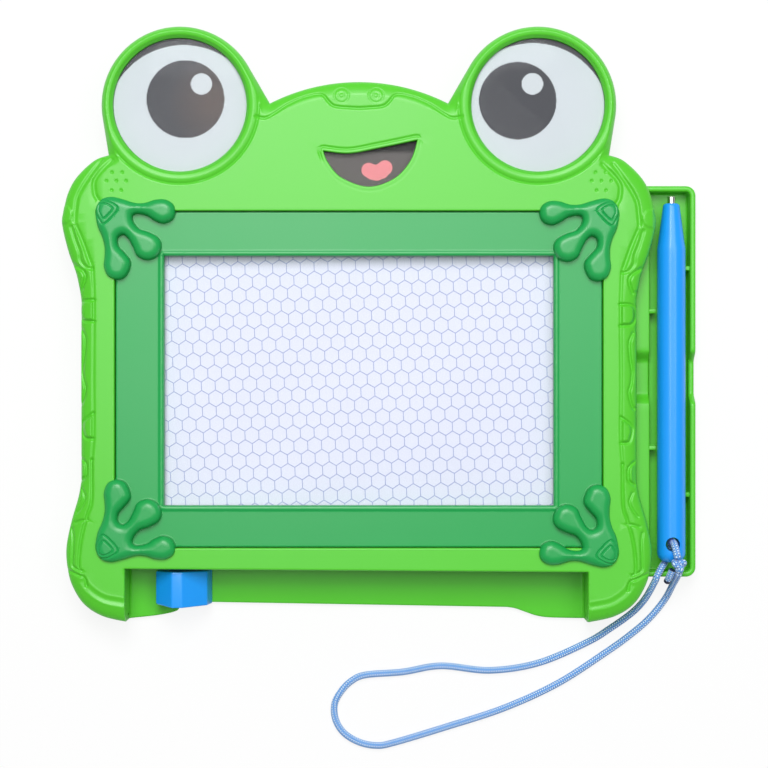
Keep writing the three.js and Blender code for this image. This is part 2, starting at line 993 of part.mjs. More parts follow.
// Pen: a turned barrel with a bored nose, and a cord hole through its end
function penTurned(profile, steps) {
  const geometry = new THREE.LatheGeometry(profile, steps);
  geometry.translate(0, -pen_length, 0);
  geometry.translate(pen_x, pen_tip_y, pen_z);
  return solid(geometry);
}
function penBarrel() {
  const nose_y = pen_length - pen_tip_length;
  const profile = [new THREE.Vector2(0, 0)];
  const rounds = 4;
  for (let k = 0; k <= rounds; k += 1) {
    const turn = (k / rounds) * (Math.PI / 2);
    profile.push(new THREE.Vector2(
      pen_radius - pen_end_round * (1 - Math.sin(turn)),
      pen_end_round * (1 - Math.cos(turn)),
    ));
  }
  profile.push(new THREE.Vector2(pen_radius, nose_y - pen_cone_length));
  profile.push(new THREE.Vector2(pen_nose_radius, nose_y - pen_tip_radius));
  profile.push(new THREE.Vector2(pen_nose_radius - pen_tip_radius / 2, nose_y));
  profile.push(new THREE.Vector2(pen_tip_radius + clearance, nose_y));
  profile.push(new THREE.Vector2(pen_tip_radius + clearance, nose_y - pen_tip_depth - clearance));
  profile.push(new THREE.Vector2(0, nose_y - pen_tip_depth - clearance));
  const hole = disc(
    pen_x,
    pen_hole_y,
    pen_hole_radius,
    pen_z - pen_radius - overrun,
    pen_z + pen_radius + overrun,
  );
  return penTurned(profile, pen_sides).subtract(hole);
}
addPiece('pen_barrel', penBarrel(), 'pen_blue', 0.3);
addPiece(
  'pen_tip',
  penTurned(
    [
      new THREE.Vector2(0, pen_length - pen_tip_length - pen_tip_depth),
      new THREE.Vector2(pen_tip_radius, pen_length - pen_tip_length - pen_tip_depth),
      new THREE.Vector2(pen_tip_radius, pen_length - pen_tip_radius / 2),
      new THREE.Vector2(pen_tip_radius / 2, pen_length),
      new THREE.Vector2(0, pen_length),
    ],
    small_sides,
  ),
  'metal',
  0.25,
  1,
);

// Wrist cord: from the knot, out over the tray's end, down to the table, round
// the loop and back, under the pen's end, up its hole and back to the knot
const knot_place = new THREE.Vector3(91.7, -73.9, 14.6);
const cord_route = [
  [91.8, -76.3, 13.7],
  [91.4, -78.0, 10.9],
  [90.7, -80.5, 7.4],
  [88.8, -85.6, 2.6],
  [84.3, -91.5, 1.1],
  [78.2, -96.8, 1.1],
  [70.7, -102.2, 1.1],
  [55.5, -112.0, 1.1],
  [38.7, -119.7, 1.1],
  [20.6, -125.6, 1.1],
  [3.9, -130.6, 1.1],
  [-1.4, -131.4, 1.1],
  [-6.7, -130.3, 1.1],
  [-11.3, -127.5, 1.1],
  [-13.9, -123.4, 1.1],
  [-14.3, -118.7, 1.1],
  [-12.4, -114.7, 1.1],
  [-9.0, -111.2, 1.1],
  [-4.4, -109.3, 1.1],
  [7.0, -108.4, 1.1],
  [19.0, -106.5, 1.1],
  [34.3, -107.9, 1.1],
  [49.4, -105.6, 1.1],
  [64.6, -99.2, 1.1],
  [72.2, -94.6, 1.1],
  [78.9, -89.7, 1.4],
  [82.4, -85.2, 4.6],
  [84.8, -79.6, 9.2],
  [85.6, -77.3, 10.3],
  [87.2, -74.8, 9.0],
  [89.2, -72.8, 4.7],
  [90.1, -71.0, 3.35],
  [90.3, -68.5, 4.2],
  [90.3, -67.1, 6.6],
  [90.3, -67.0, 9.5],
  [90.3, -67.1, 12.0],
  [90.5, -68.3, 14.3],
  [90.9, -70.4, 15.3],
  [91.1, -71.5, 15.3],
];
function cordTube(points, steps) {
  const curve = new THREE.CatmullRomCurve3(points.map((p) => new THREE.Vector3(...p)));
  // steps follow the route's points, so the tight bends get the short ones
  curve.getUtoTmapping = (share) => share;
  const section = new THREE.Shape();
  for (let side = 0; side < cord_sides; side += 1) {
    const turn = (2 * Math.PI * (side + 0.5)) / cord_sides;
    const x = (cord_diameter / 2) * Math.cos(turn);
    const y = (cord_diameter / 2) * Math.sin(turn);
    if (side === 0) {
      section.moveTo(x, y);
    } else {
      section.lineTo(x, y);
    }
  }
  section.closePath();
  const geometry = new THREE.ExtrudeGeometry(section, { extrudePath: curve, steps });
  return solid(geometry);
}
addPiece('wrist_cord', cordTube(cord_route, cord_steps), 'cord_blue', 0.8);
const knot_shape = new THREE.SphereGeometry(knot_radius, small_sides, small_sides / 2);
knot_shape.translate(knot_place.x, knot_place.y, knot_place.z);
addPiece('cord_knot', solid(knot_shape), 'cord_blue', 0.8);
const tail_route = [
  [89.7, -75.4, 14.0],
  [89.0, -77.4, 12.9],
  [88.4, -79.2, 11.2],
];
addPiece('cord_tail', cordTube(tail_route, tail_steps), 'cord_blue', 0.8);

export default part;
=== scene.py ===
"""A child's magnetic drawing board shaped as a frog, with a screen, a sliding eraser, and a pen on a cord.

Metres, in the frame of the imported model: X to the right of the face, Y towards the eyes, Z up.
Sizes and tables of points are in millimetres, and MM turns them into metres.
"""
import math

import bmesh
import bpy
import numpy as np
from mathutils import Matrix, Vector
from mathutils.geometry import delaunay_2d_cdt


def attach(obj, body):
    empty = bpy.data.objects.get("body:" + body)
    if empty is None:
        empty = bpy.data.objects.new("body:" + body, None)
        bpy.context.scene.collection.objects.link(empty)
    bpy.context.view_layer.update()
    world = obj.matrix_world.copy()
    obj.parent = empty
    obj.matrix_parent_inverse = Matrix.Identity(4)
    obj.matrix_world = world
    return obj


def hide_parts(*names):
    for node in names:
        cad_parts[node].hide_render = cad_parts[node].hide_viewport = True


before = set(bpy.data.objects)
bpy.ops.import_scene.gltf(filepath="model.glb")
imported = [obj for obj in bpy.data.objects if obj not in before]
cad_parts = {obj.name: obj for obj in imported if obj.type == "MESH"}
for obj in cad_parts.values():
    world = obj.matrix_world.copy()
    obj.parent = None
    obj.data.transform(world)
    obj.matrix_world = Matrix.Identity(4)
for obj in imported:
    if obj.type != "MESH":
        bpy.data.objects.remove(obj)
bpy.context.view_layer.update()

MM = 0.001

# Camera, as in the photograph: straight above the board
CAMERA_PLACE = (1.2 * MM, -18.3 * MM, 668 * MM)
CAMERA_LENS = 99.9
SENSOR_WIDTH = 36.0

# Cord, from the knot round the loop and back through the pen's hole
CORD_DIAMETER = 2.2 * MM
KNOT_MIDDLE = (91.7 * MM, -73.9 * MM, 14.6 * MM)
CORD_ROUTE = [
    (91.8, -76.3, 13.7), (91.4, -78.0, 10.9), (90.7, -80.5, 7.4), (88.8, -85.6, 2.6),
    (84.3, -91.5, 1.1), (78.2, -96.8, 1.1), (70.7, -102.2, 1.1), (55.5, -112.0, 1.1),
    (38.7, -119.7, 1.1), (20.6, -125.6, 1.1), (3.9, -130.6, 1.1), (-1.4, -131.4, 1.1),
    (-6.7, -130.3, 1.1), (-11.3, -127.5, 1.1), (-13.9, -123.4, 1.1), (-14.3, -118.7, 1.1),
    (-12.4, -114.7, 1.1), (-9.0, -111.2, 1.1), (-4.4, -109.3, 1.1), (7.0, -108.4, 1.1),
    (19.0, -106.5, 1.1), (34.3, -107.9, 1.1), (49.4, -105.6, 1.1), (64.6, -99.2, 1.1),
    (72.2, -94.6, 1.1), (78.9, -89.7, 1.4), (82.4, -85.2, 4.6), (84.8, -79.6, 9.2),
    (85.6, -77.3, 10.3), (87.2, -74.8, 9.0), (89.2, -72.8, 4.7), (90.1, -71.0, 3.35),
    (90.3, -68.5, 4.2), (90.3, -67.1, 6.6), (90.3, -67.0, 9.5), (90.3, -67.1, 12.0),
    (90.5, -68.3, 14.3), (90.9, -70.4, 15.3), (91.1, -71.5, 15.3),
]
TAIL_ROUTE = [(89.7, -75.4, 14.0), (89.0, -77.4, 12.9), (88.4, -79.2, 11.2)]
STRANDS = 12
STRAND_TURN = 4.4 * MM
STRAND_RELIEF = 0.12 * MM
CORD_SIDES = 36
CORD_STEP = 0.2 * MM
KNOT_SPREAD = 0.74 * MM
KNOT_RADIUS = 0.95 * MM
KNOT_RELIEF = 0.08 * MM
# Rows of the tail, counted from its end, that are melted together
MELTED_ROWS = 7


# Shapes from arrays

def smooth_curve(points, steps):
    """Uniform Catmull-Rom curve through the points: each stretch is the cubic whose end slopes are half
    the span of its neighbours."""
    p = np.asarray(points, float)
    p = np.vstack([p[:1], p, p[-1:]])
    t = np.linspace(0, 1, steps, endpoint=False)[:, None, None]
    a, b, c, d = p[:-3], p[1:-2], p[2:-1], p[3:]
    curve = 0.5 * (2 * b + (c - a) * t + (2 * a - 5 * b + 4 * c - d) * t**2 + (3 * b - a - 3 * c + d) * t**3)
    return np.vstack([curve.transpose(1, 0, 2).reshape(-1, p.shape[1]), p[-1:]])


def lengths(path):
    """Distance along a path at each of its points."""
    return np.concatenate([[0], np.cumsum(np.linalg.norm(np.diff(path, axis=0), axis=1))])


def even_steps(path, step):
    """The same path with points a step apart, by linear interpolation along its length."""
    along = lengths(path)
    count = max(int(round(along[-1] / step)), 2)
    at = np.linspace(0, along[-1], count + 1)
    return np.stack([np.interp(at, along, axis) for axis in path.T], axis=1)


def looped(line):
    """A line with its first point again at its end."""
    return np.vstack([line, line[:1]])


def full_turn(sides):
    """Angles evenly round a circle."""
    return np.linspace(0, 2 * np.pi, sides, endpoint=False)


def on_circle(turn):
    """Points at angles of a circle with radius 1."""
    return np.stack([np.cos(turn), np.sin(turn)], axis=1)


def columns(*values):
    """Points from their coordinates, each one number or many."""
    return np.column_stack(np.broadcast_arrays(*values))


def grid_points(x, y):
    """Points of a flat grid."""
    x, y = np.meshgrid(x, y)
    return columns(x.ravel(), y.ravel())


def both_ways(*offsets):
    """The line itself and each offset to both sides of it."""
    return [0, *[side * offset for offset in offsets for side in (1, -1)]]


def grid_faces(rows, columns, close_rows=False, close_columns=False):
    """Quads of a grid of rows by columns, numbered row by row."""
    i = np.arange(rows if close_rows else rows - 1)
    j = np.arange(columns if close_columns else columns - 1)
    i, j = (x.ravel() for x in np.meshgrid(i, j, indexing="ij"))
    near, far = i * columns, ((i + 1) % rows) * columns
    k = (j + 1) % columns
    return np.stack([near + j, near + k, far + k, far + j], axis=1)


def put(name, data):
    """A new object in the scene."""
    made = bpy.data.objects.new(name, data)
    bpy.context.scene.collection.objects.link(made)
    return made


def put_mesh(name, parts, material, sharp=math.radians(38)):
    """One object from several parts, each its points in millimetres and its faces, joined where points meet."""
    points = np.vstack([p for p, _ in parts])
    starts = np.cumsum([0] + [len(p) for p, _ in parts[:-1]])
    faces = [f + s for (_, f), s in zip(parts, starts)]
    sizes = np.concatenate([np.full(len(f), f.shape[1]) for f in faces])
    corners = np.concatenate([f.ravel() for f in faces])
    mesh = bpy.data.meshes.new(name)
    mesh.vertices.add(len(points))
    mesh.vertices.foreach_set("co", (points * MM).astype(np.float32).ravel())
    mesh.loops.add(len(corners))
    mesh.polygons.add(len(sizes))
    mesh.polygons.foreach_set("loop_start", np.concatenate([[0], np.cumsum(sizes)[:-1]]).astype(np.int32))
    mesh.loops.foreach_set("vertex_index", corners.astype(np.int32))
    mesh.update(calc_edges=True)
    mesh.validate()
    made = bmesh.new()
    made.from_mesh(mesh)
    bmesh.ops.remove_doubles(made, verts=made.verts, dist=0.004 * MM)
    made.to_mesh(mesh)
    made.free()
    mesh.shade_smooth()
    mesh.set_sharp_from_angle(angle=sharp)
    mesh.materials.append(material)
    return put(name, mesh)


# Materials

def feed(tree, node, inputs):
    """A node, or a new one of a kind, with each input set to a value or another node's output; gives its outputs."""
    node = tree.nodes.new(node) if isinstance(node, str) else node
    for slot, given in inputs.items():
        if isinstance(given, bpy.types.NodeSocket):
            tree.links.new(given, node.inputs[slot])
        else:
            node.inputs[slot].default_value = given
    return node.outputs


def reckon(tree, operation, *given):
    """One arithmetic node; each argument is a number or another node's output."""
    node = tree.nodes.new("ShaderNodeMath")
    node.operation = operation
    return feed(tree, node, dict(enumerate(given)))["Value"]


def mixed(tree, share, first, second):
    """The colour between two colours; each is a tuple or another node's output."""
    node = tree.nodes.new("ShaderNodeMix")
    node.data_type = "RGBA"
    first, second = ((*colour, 1) if isinstance(colour, tuple) else colour for colour in (first, second))
    return feed(tree, node, {0: share, 6: first, 7: second})[2]


def ramp(tree, value, low, high, first=0.0, last=1.0):
    """A value carried evenly from one range to another, and held at its ends."""
    ends = {"From Min": low, "From Max": high, "To Min": first, "To Max": last}
    return feed(tree, "ShaderNodeMapRange", {"Value": value, **ends})["Result"]


def object_place(tree):
    """Place in the piece's own coordinates."""
    return feed(tree, "ShaderNodeTexCoord", {})["Object"]


def split_axes(tree, vector):
    """The three numbers of a vector."""
    return feed(tree, "ShaderNodeSeparateXYZ", {"Vector": vector})


def wave_net(tree, places, factor):
    """|sin fx · sin fy|: 0 on the lines of a net and 1 in the middle of its meshes."""
    waves = [reckon(tree, "SINE", reckon(tree, "MULTIPLY", place, factor)) for place in places]
    return reckon(tree, "ABSOLUTE", reckon(tree, "MULTIPLY", *waves))


def moulded_grain():
    """From a colour and a roughness, the slightly uneven colour, roughness and normal of moulded plastic."""
    group = bpy.data.node_groups.new("moulded_grain", "ShaderNodeTree")
    for way in ("INPUT", "OUTPUT"):
        group.interface.new_socket("Colour", in_out=way, socket_type="NodeSocketColor")
        group.interface.new_socket("Roughness", in_out=way, socket_type="NodeSocketFloat")
    group.interface.new_socket("Normal", in_out="OUTPUT", socket_type="NodeSocketVector")
    given = group.nodes.new("NodeGroupInput").outputs
    place = object_place(group)
    broad = feed(group, "ShaderNodeTexNoise", {"Vector": place, "Scale": 35, "Detail": 3})["Fac"]
    fine = feed(group, "ShaderNodeTexNoise", {"Vector": place, "Scale": 1400, "Detail": 2})["Fac"]
    tint = group.nodes.new("ShaderNodeVectorMath")
    tint.operation = "SCALE"
    shade = ramp(group, broad, 0, 1, 0.965, 1.035)
    bump = feed(group, "ShaderNodeBump", {"Strength": 0.35, "Distance": 0.02 * MM, "Height": fine})
    feed(group, "NodeGroupOutput", {
        "Colour": feed(group, tint, {0: given["Colour"], "Scale": shade})["Vector"],
        "Roughness": reckon(group, "MULTIPLY_ADD", broad, 0.08, given["Roughness"]),
        "Normal": bump["Normal"],
    })
    return group


def plain_material(name, colour, roughness, settings={}):
    """A material with its node tree and its surface; the settings are for the surface's other inputs."""
    material = bpy.data.materials.new(name)
    material.use_nodes = True
    surface = material.node_tree.nodes["Principled BSDF"]
    feed(material.node_tree, surface, {"Base Color": (*colour, 1), "Roughness": roughness, **settings})
    return material, material.node_tree, surface


GRAIN = moulded_grain()


def moulded_plastic(name, colour, roughness, settings={}):
    """Plastic of one colour with the shared grain."""
    material, tree, surface = plain_material(name, colour, roughness, settings)
    grain = tree.nodes.new("ShaderNodeGroup")
    grain.node_tree = GRAIN
    made = feed(tree, grain, {"Colour": (*colour, 1), "Roughness": roughness})
    feed(tree, surface, {"Base Color": made["Colour"], "Roughness": made["Roughness"], "Normal": made["Normal"]})
    return material


METAL = {"Metallic": 1.0}
GLOSSY = {"Coat Weight": 0.1}
case_green = moulded_plastic("case_green", (0.085, 0.56, 0.022), 0.32)
frame_green = moulded_plastic("frame_green", (0.009, 0.345, 0.072), 0.3)
pen_blue = moulded_plastic("pen_blue", (0.006, 0.31, 0.92), 0.3, GLOSSY)
carrier_white = moulded_plastic("carrier_white", (0.78, 0.78, 0.76), 0.5)
seal_white = moulded_plastic("seal_white", (0.80, 0.80, 0.78), 0.6)
back_sheet = moulded_plastic("back_sheet", (0.82, 0.84, 0.88), 0.4)
magnet_black = moulded_plastic("magnet_black", (0.02, 0.02, 0.022), 0.7)
screw_metal = moulded_plastic("screw_metal", (0.55, 0.55, 0.54), 0.3, METAL)
cell_blue = moulded_plastic("cell_blue", (0.30, 0.36, 0.62), 0.5)
cell_white = moulded_plastic("cell_white", (0.77, 0.79, 0.90), 0.6)
tip_metal = moulded_plastic("tip_metal", (0.62, 0.60, 0.57), 0.18, METAL)
cord_end = moulded_plastic("cord_end", (0.012, 0.02, 0.06), 0.5)

# Clear sheets: mostly see-through, with their own reflections
CLEAR = {"Alpha": 0.08, "IOR": 1.49}
screen_gloss = plain_material("screen_gloss", (0.6, 0.65, 0.8), 0.12, CLEAR)[0]
window_clear = plain_material("window_clear", (0.2, 0.2, 0.22), 0.08, CLEAR)[0]


def braid_material():
    """Two families of strands cross on the cord: the rising ones pale, the falling ones mid blue, with painted
    shade, a dark blue, in the gaps between them."""
    material, tree, surface = plain_material("cord_braid", (0.4, 0.6, 0.9), 0.85, {"Sheen Weight": 0.3})
    uv = tree.nodes.new("ShaderNodeUVMap")
    uv.uv_map = "UVMap"
    along, around, _ = split_axes(tree, uv.outputs["UV"])
    turn = reckon(tree, "MULTIPLY", around, STRANDS / 2)
    ways = [reckon(tree, operation, turn, along) for operation in ("ADD", "SUBTRACT")]
    crossing = reckon(tree, "ADD", *[reckon(tree, "FLOOR", way) for way in ways])
    over = reckon(tree, "FLOORED_MODULO", crossing, 2)
    strands = mixed(tree, over, (0.60, 0.78, 0.95), (0.17, 0.42, 0.82))
    # Painted shade in the gaps between the strands
    gap = ramp(tree, wave_net(tree, ways, math.pi), 0.1, 0.5)
    feed(tree, surface, {"Base Color": mixed(tree, gap, (0.06, 0.17, 0.52), strands)})
    return material


cord_braid = braid_material()
PRINT_CELL = 0.3
PRINT_BLUR = 0.06
DIM = {"Specular IOR Level": 0.1}


def disc_share(tree, x, y, middle, disc, blur=PRINT_BLUR):
    """1 inside a disc, 0 outside, with a soft edge. The disc is its offset from the middle and its radius."""
    offset, radius = disc
    dx, dy = (reckon(tree, "SUBTRACT", axis, (m + o) * MM) for axis, m, o in zip((x, y), middle, offset))
    square = reckon(tree, "MULTIPLY_ADD", dx, dx, reckon(tree, "MULTIPLY", dy, dy))
    return ramp(tree, reckon(tree, "SQRT", square), (radius + blur) * MM, (radius - blur) * MM)


def eye_print_and_reflection(name, middle, white, pupil, highlight, painted_reflection):
    """Printed eye of four discs: white with a fine grid, set low so that the card stays dark above it, a dark
    pupil, a printed highlight, and a painted reflection: a soft brownish patch on the pupil. The edges of the
    white, the pupil and the highlight keep to the cells of the print's grid."""
    material, tree, surface = plain_material(name, (0.73, 0.8, 0.84), 0.35, DIM)
    cell = tree.nodes.new("ShaderNodeVectorMath")
    cell.operation = "SNAP"
    place = object_place(tree)
    snapped = feed(tree, cell, {0: place, 1: (PRINT_CELL * MM, PRINT_CELL * MM, 1)})["Vector"]
    cell_x, cell_y, _ = split_axes(tree, snapped)
    x, y, _ = split_axes(tree, place)
    lines = wave_net(tree, (x, y), math.pi / (PRINT_CELL * MM))
    paper = mixed(tree, lines, (0.67, 0.74, 0.79), (0.77, 0.83, 0.87))
    # Painted reflection: a soft patch on the pupil, brownish at its middle, in place of the cover's reflection
    glow = disc_share(tree, x, y, middle, painted_reflection, blur=6)
    dark = mixed(tree, glow, (0.055, 0.058, 0.068), (0.11, 0.085, 0.078))
    colour = (0.07, 0.07, 0.08)
    for disc, inside in ((white, paper), (pupil, dark), (highlight, (0.72, 0.78, 0.82))):
        colour = mixed(tree, disc_share(tree, cell_x, cell_y, middle, disc), colour, inside)
    feed(tree, surface, {"Base Color": colour})
    return material


# Discs of each eye as (offset from the middle, radius): the white, the pupil, the printed highlight, and the painted
# reflection on the pupil
LEFT_DISCS = [((0.9, -5.4), 23.7), ((1.5, 1.7), 11.95), ((6.4, 6.35), 3.25), ((11, 1), 9)]
RIGHT_DISCS = [((-1.6, -4.7), 23.6), ((-6.3, 1.24), 11.9), ((-1.8, 6.4), 3.3), ((20, -20), 1)]
eye_prints = {
    "left": eye_print_and_reflection("eye_print_and_reflection_left", (-61.4, 67.3), *LEFT_DISCS),
    "right": eye_print_and_reflection("eye_print_and_reflection_right", (48.4, 67.3), *RIGHT_DISCS),
}

TONGUE_PLACE = (-1.07, 46.9)
TONGUE = [((-2.42, 0.47), 2.24), ((2.56, 1.16), 2.3), ((-1.3, -0.1), 2.4), ((1.4, 0.2), 2.45), ((0, -0.4), 2.4)]


def mouth_print_and_shadow():
    """Card behind the mouth: printed dark grey with a pink heart of overlapping discs, and a painted shadow
    that makes it darker towards the upper lip."""
    material, tree, surface = plain_material("mouth_print_and_shadow", (0.13, 0.12, 0.12), 0.4, DIM)
    x, y, _ = split_axes(tree, object_place(tree))
    # Painted shadow: nearly black above 53.5 mm up the face, fading to the printed grey by 52.2 mm
    colour = mixed(tree, ramp(tree, y, 52.2 * MM, 53.5 * MM), (0.135, 0.122, 0.12), (0.02, 0.018, 0.018))
    heart = 0.0
    for disc in TONGUE:
        heart = reckon(tree, "MAXIMUM", heart, disc_share(tree, x, y, TONGUE_PLACE, disc))
    feed(tree, surface, {"Base Color": mixed(tree, heart, colour, (0.90, 0.30, 0.33))})
    return material


mouth_card_print_and_shadow = mouth_print_and_shadow()


# Camera first, then the cord

camera = put("camera", bpy.data.cameras.new("camera"))
camera.location = CAMERA_PLACE
camera.data.lens = CAMERA_LENS
camera.data.sensor_width = SENSOR_WIDTH
camera.data.clip_start = 10 * MM
bpy.context.scene.camera = camera

# No stretch of the cord runs along this direction, so it can turn the section
CORD_SIDEWAYS = np.array([0.28, 0.72, 0.63])


def cord_line(route, steps):
    """Even points along a smooth curve through a route, none lower than a cord lying on the table."""
    path = even_steps(smooth_curve(np.array(route) * MM, steps), CORD_STEP)
    path[:, 2] = np.maximum(path[:, 2], CORD_DIAMETER / 2)
    return path


def cord_tube(name, path, radius=CORD_DIAMETER / 2, relief=STRAND_RELIEF):
    """A braided tube along a path, its ends closed, with the place along and around it as UV.

    Its points are path(s) + r(s, a)·(cos a·n + sin a·b), where n and b stand across the path and
    CORD_SIDEWAYS, and r is the radius less the dips between crossing strands.
    """
    ahead = np.gradient(path, axis=0)
    ahead /= np.linalg.norm(ahead, axis=1)[:, None]
    n = np.cross(ahead, CORD_SIDEWAYS)
    n /= np.linalg.norm(n, axis=1)[:, None]
    b = np.cross(ahead, n)
    s, a = np.meshgrid(lengths(path) / STRAND_TURN * STRANDS / 2, full_turn(CORD_SIDES), indexing="ij")
    turn = a / (2 * np.pi) * STRANDS / 2
    swell = np.sqrt(np.abs(np.sin(np.pi * (turn + s)) * np.sin(np.pi * (turn - s))))
    r = radius - relief * (1 - swell)
    points = path[:, None] + r[..., None] * (np.cos(a)[..., None] * n[:, None] + np.sin(a)[..., None] * b[:, None])
    quads = grid_faces(len(path), CORD_SIDES, close_columns=True).tolist()
    ends = np.arange(len(path) * CORD_SIDES).reshape(-1, CORD_SIDES)[[0, -1]].tolist()
    mesh = bpy.data.meshes.new(name)
    mesh.from_pydata(points.reshape(-1, 3), [], quads + [ends[0][::-1], ends[1]])
    mesh.shade_smooth()
    mesh.materials.append(cord_braid)
    corner = np.empty(len(mesh.loops), np.int32)
    mesh.loops.foreach_get("vertex_index", corner)
    u, v = s.ravel()[corner], (a / (2 * np.pi)).ravel()[corner]
    # The corner that closes a ring counts as a full turn, not as none
    ring = v[:len(quads) * 4].reshape(-1, 4)
    ring[(ring.max(axis=1) > 0.75)[:, None] & (ring < 0.25)] += 1
    uv = mesh.uv_layers.new(name="UVMap")
    uv.data.foreach_set("uv", np.stack([u, v], axis=1).astype(np.float32).ravel())
    return put(name, mesh)


cord_path = cord_line(CORD_ROUTE, 40)
loop = cord_tube("braided_loop", cord_path)
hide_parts("wrist_cord")
tail_path = cord_line(TAIL_ROUTE, 20)
tail = cord_tube("loop_tail", tail_path)
tail.data.materials.append(cord_end)
melted = np.arange(len(tail.data.polygons)) >= (len(tail_path) - MELTED_ROWS) * CORD_SIDES
tail.data.polygons.foreach_set("material_index", melted.astype(np.int32))
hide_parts("cord_tail")

# The knot: the cord's line makes two turns about the middle while it goes in and out three times
turn = full_turn(160)
knot_path = np.stack([
    KNOT_MIDDLE[0] + KNOT_SPREAD * (np.sin(turn) + 1.2 * np.sin(2 * turn)),
    KNOT_MIDDLE[1] + KNOT_SPREAD * (np.cos(turn) - 1.2 * np.cos(2 * turn)),
    KNOT_MIDDLE[2] - 0.8 * KNOT_SPREAD * np.sin(3 * turn),
], axis=1)
knot = cord_tube("loop_knot", looped(knot_path), KNOT_RADIUS, KNOT_RELIEF)
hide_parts("cord_knot")

for piece in (loop, knot, tail):
    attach(piece, "pen")


# Sizes of the case

FROG_X = -6.5
HALF_WIDTH = 91.2
HALF_HEIGHT = 91.5
FACE_Z = 16.5
PARTING_Z = 7.0
SHELL_LOW_Z = 7.3
WALL = 2.0
BAND_WIDTH = 4.2
BAND_DROP = 3.3
EYE_X = 54.9
EYE_Y = 67.3
EYE_RADIUS = 24.15
EYE_HOLE = 20.5
EYE_SEAT_Z = 13.05
EYE_SEAT_WIDTH = 2
EYE_SEAT_THICKNESS = 1.4
FOREHEAD_RADIUS = 60.2
LEDGE_HALF_WIDTH = 70.9
LEDGE_X = -7.2
LEDGE_LEFT_Y = -74.9
LEDGE_RIGHT_Y = -75.9
POCKET = (-81.27, -68.5, 68.27, 34.7)
POCKET_FLOOR_Z = 12.6
POCKET_FLOOR_WIDTH = 12
POCKET_FLOOR_THICKNESS = 1.7
MOUTH_X = -3.0
MOUTH_Y = 48.13
MOUTH_HALF_WIDTH = 14.4

SHOULDER = [
    (0.843, 0.568), (0.891, 0.55), (0.948, 0.497), (0.979, 0.443), (0.996, 0.375),
    (0.999, 0.33), (0.977, 0.24), (0.95, 0.165), (0.935, 0.085),
]
LOBE = [
    (0.935, -0.525), (0.945, -0.58), (0.968, -0.66), (0.985, -0.745), (0.982, -0.815),
    (0.965, -0.878), (0.925, -0.94), (0.862, -0.98), (0.776, -1),
]
BROW = np.array([0.3 * HALF_WIDTH, 0.742 * HALF_HEIGHT])
MOUTH_TOP = [(-1, 0.34), (-0.45, 0.29), (0.18, 0.4), (1, 0.57)]
MOUTH_BOTTOM = [(1, 0.57), (0.85, 0.13), (0.5, -0.25), (-0.05, -0.42), (-0.62, -0.22), (-0.9, 0.1), (-1, 0.34)]

# Lines moulded into the face, as (distance from the frog's middle line, place up the face); they are mirrored
GROOVES = [
    [(75.2, 50.2), (80.2, 44.7), (80.5, 40.2), (79.5, 38.1)],
    [(78.5, 50.2), (82.8, 44.2), (85.6, 39.2), (86.3, 35.2), (86.6, 31.5)],
    [(87.6, 29.7), (86.5, 26.0), (85.1, 22.1), (84.8, 19.6), (83.2, 17.5), (81.4, 17.0)],
    [(86.3, 30.3), (84.2, 25.4), (81.7, 18.4)],
    [(87.2, 18.4), (84.2, 16.5), (83.3, 14.4), (84.5, 10.7)],
    [(80.6, 7.4), (84.0, 7.2), (85.3, 5.8), (85.3, 2.9), (84.0, 1.1), (80.6, 0.8)],
    [(84.6, -1.4), (83.4, -4.5), (83.7, -9.4), (84.3, -13.4), (84.0, -16.8), (83.3, -19.8), (84.2, -23.5),
     (84.9, -24.7)],
    [(80.9, -27.2), (84.0, -29.6), (84.4, -31.8), (83.4, -34.8), (80.9, -35.1)],
    [(85.1, -40.9), (83.3, -42.5), (83.0, -44.6), (83.3, -46.7), (85.1, -48.0)],
    [(84.5, -50.4), (83.5, -53.1), (84.7, -55.9), (86.1, -57.7)],
    [(81.4, -41.5), (81.5, -53.8), (82.6, -58.0), (84.0, -62.6), (85.0, -67.8), (85.4, -73.0), (85.2, -74.9)],
    [(86.6, -60.8), (84.7, -60.2), (82.6, -59.9)],
    [(87.5, -62.6), (87.1, -66.0), (87.3, -71.5), (87.1, -74.2), (84.3, -75.6)],
    [(89.1, -75.2), (85.7, -76.7), (83.6, -77.6), (83.0, -80.1)],
]
FOREHEAD_LINE = [
    (31.5, 63.6), (28.9, 63.05), (26.1, 64.3), (21.9, 67.1), (17.3, 69.2), (12.7, 70.3), (10.8, 69.9),
    (9.2, 68.0), (7.1, 66.6), (1.07, 66.1), (-1.07, 66.1),
]
CHANNEL = [(84.0, -78.6), (82.0, -81.2), (77.8, -83.9), (72.0, -85.1)]
CHANNEL_HALF_WIDTH = 1.4
CHANNEL_DEPTH = 0.28
BAND_LINE = [
    (81.2, 17.6), (81.1, 16.5), (80.8, 7.4), (80.8, -1.8), (80.9, -17.1), (80.8, -27.2), (80.9, -35.1),
    (81.4, -41.5),
]
GROOVE_DEPTH = 0.5
GROOVE_HALF_WIDTH = 0.78
BAND_LINE_DEPTH = 0.3
FOREHEAD_DEPTH = 0.36
FOREHEAD_HALF_WIDTH = 0.7
# Round beads and dips of the face, as (distance of the middle from a line or a place, half width, height)
EYE_BEAD = (22.7, 1.5, 0.28)
EYE_DIP = (24.3, 0.6, -0.3)
CHANNEL_LIP = (CHANNEL_HALF_WIDTH, 0.6, 0.06)
DOT_DIP = (0, 0.75, -0.28)
NOSTRIL_RINGS = ((2.2, 0.5, -0.13), (0.8, 0.5, -0.1))
# How far the face sinks to an eye's opening, and how narrow its sloping band is beside an eye
EYE_SINK = 1.5
BAND_AT_EYES = 1.7
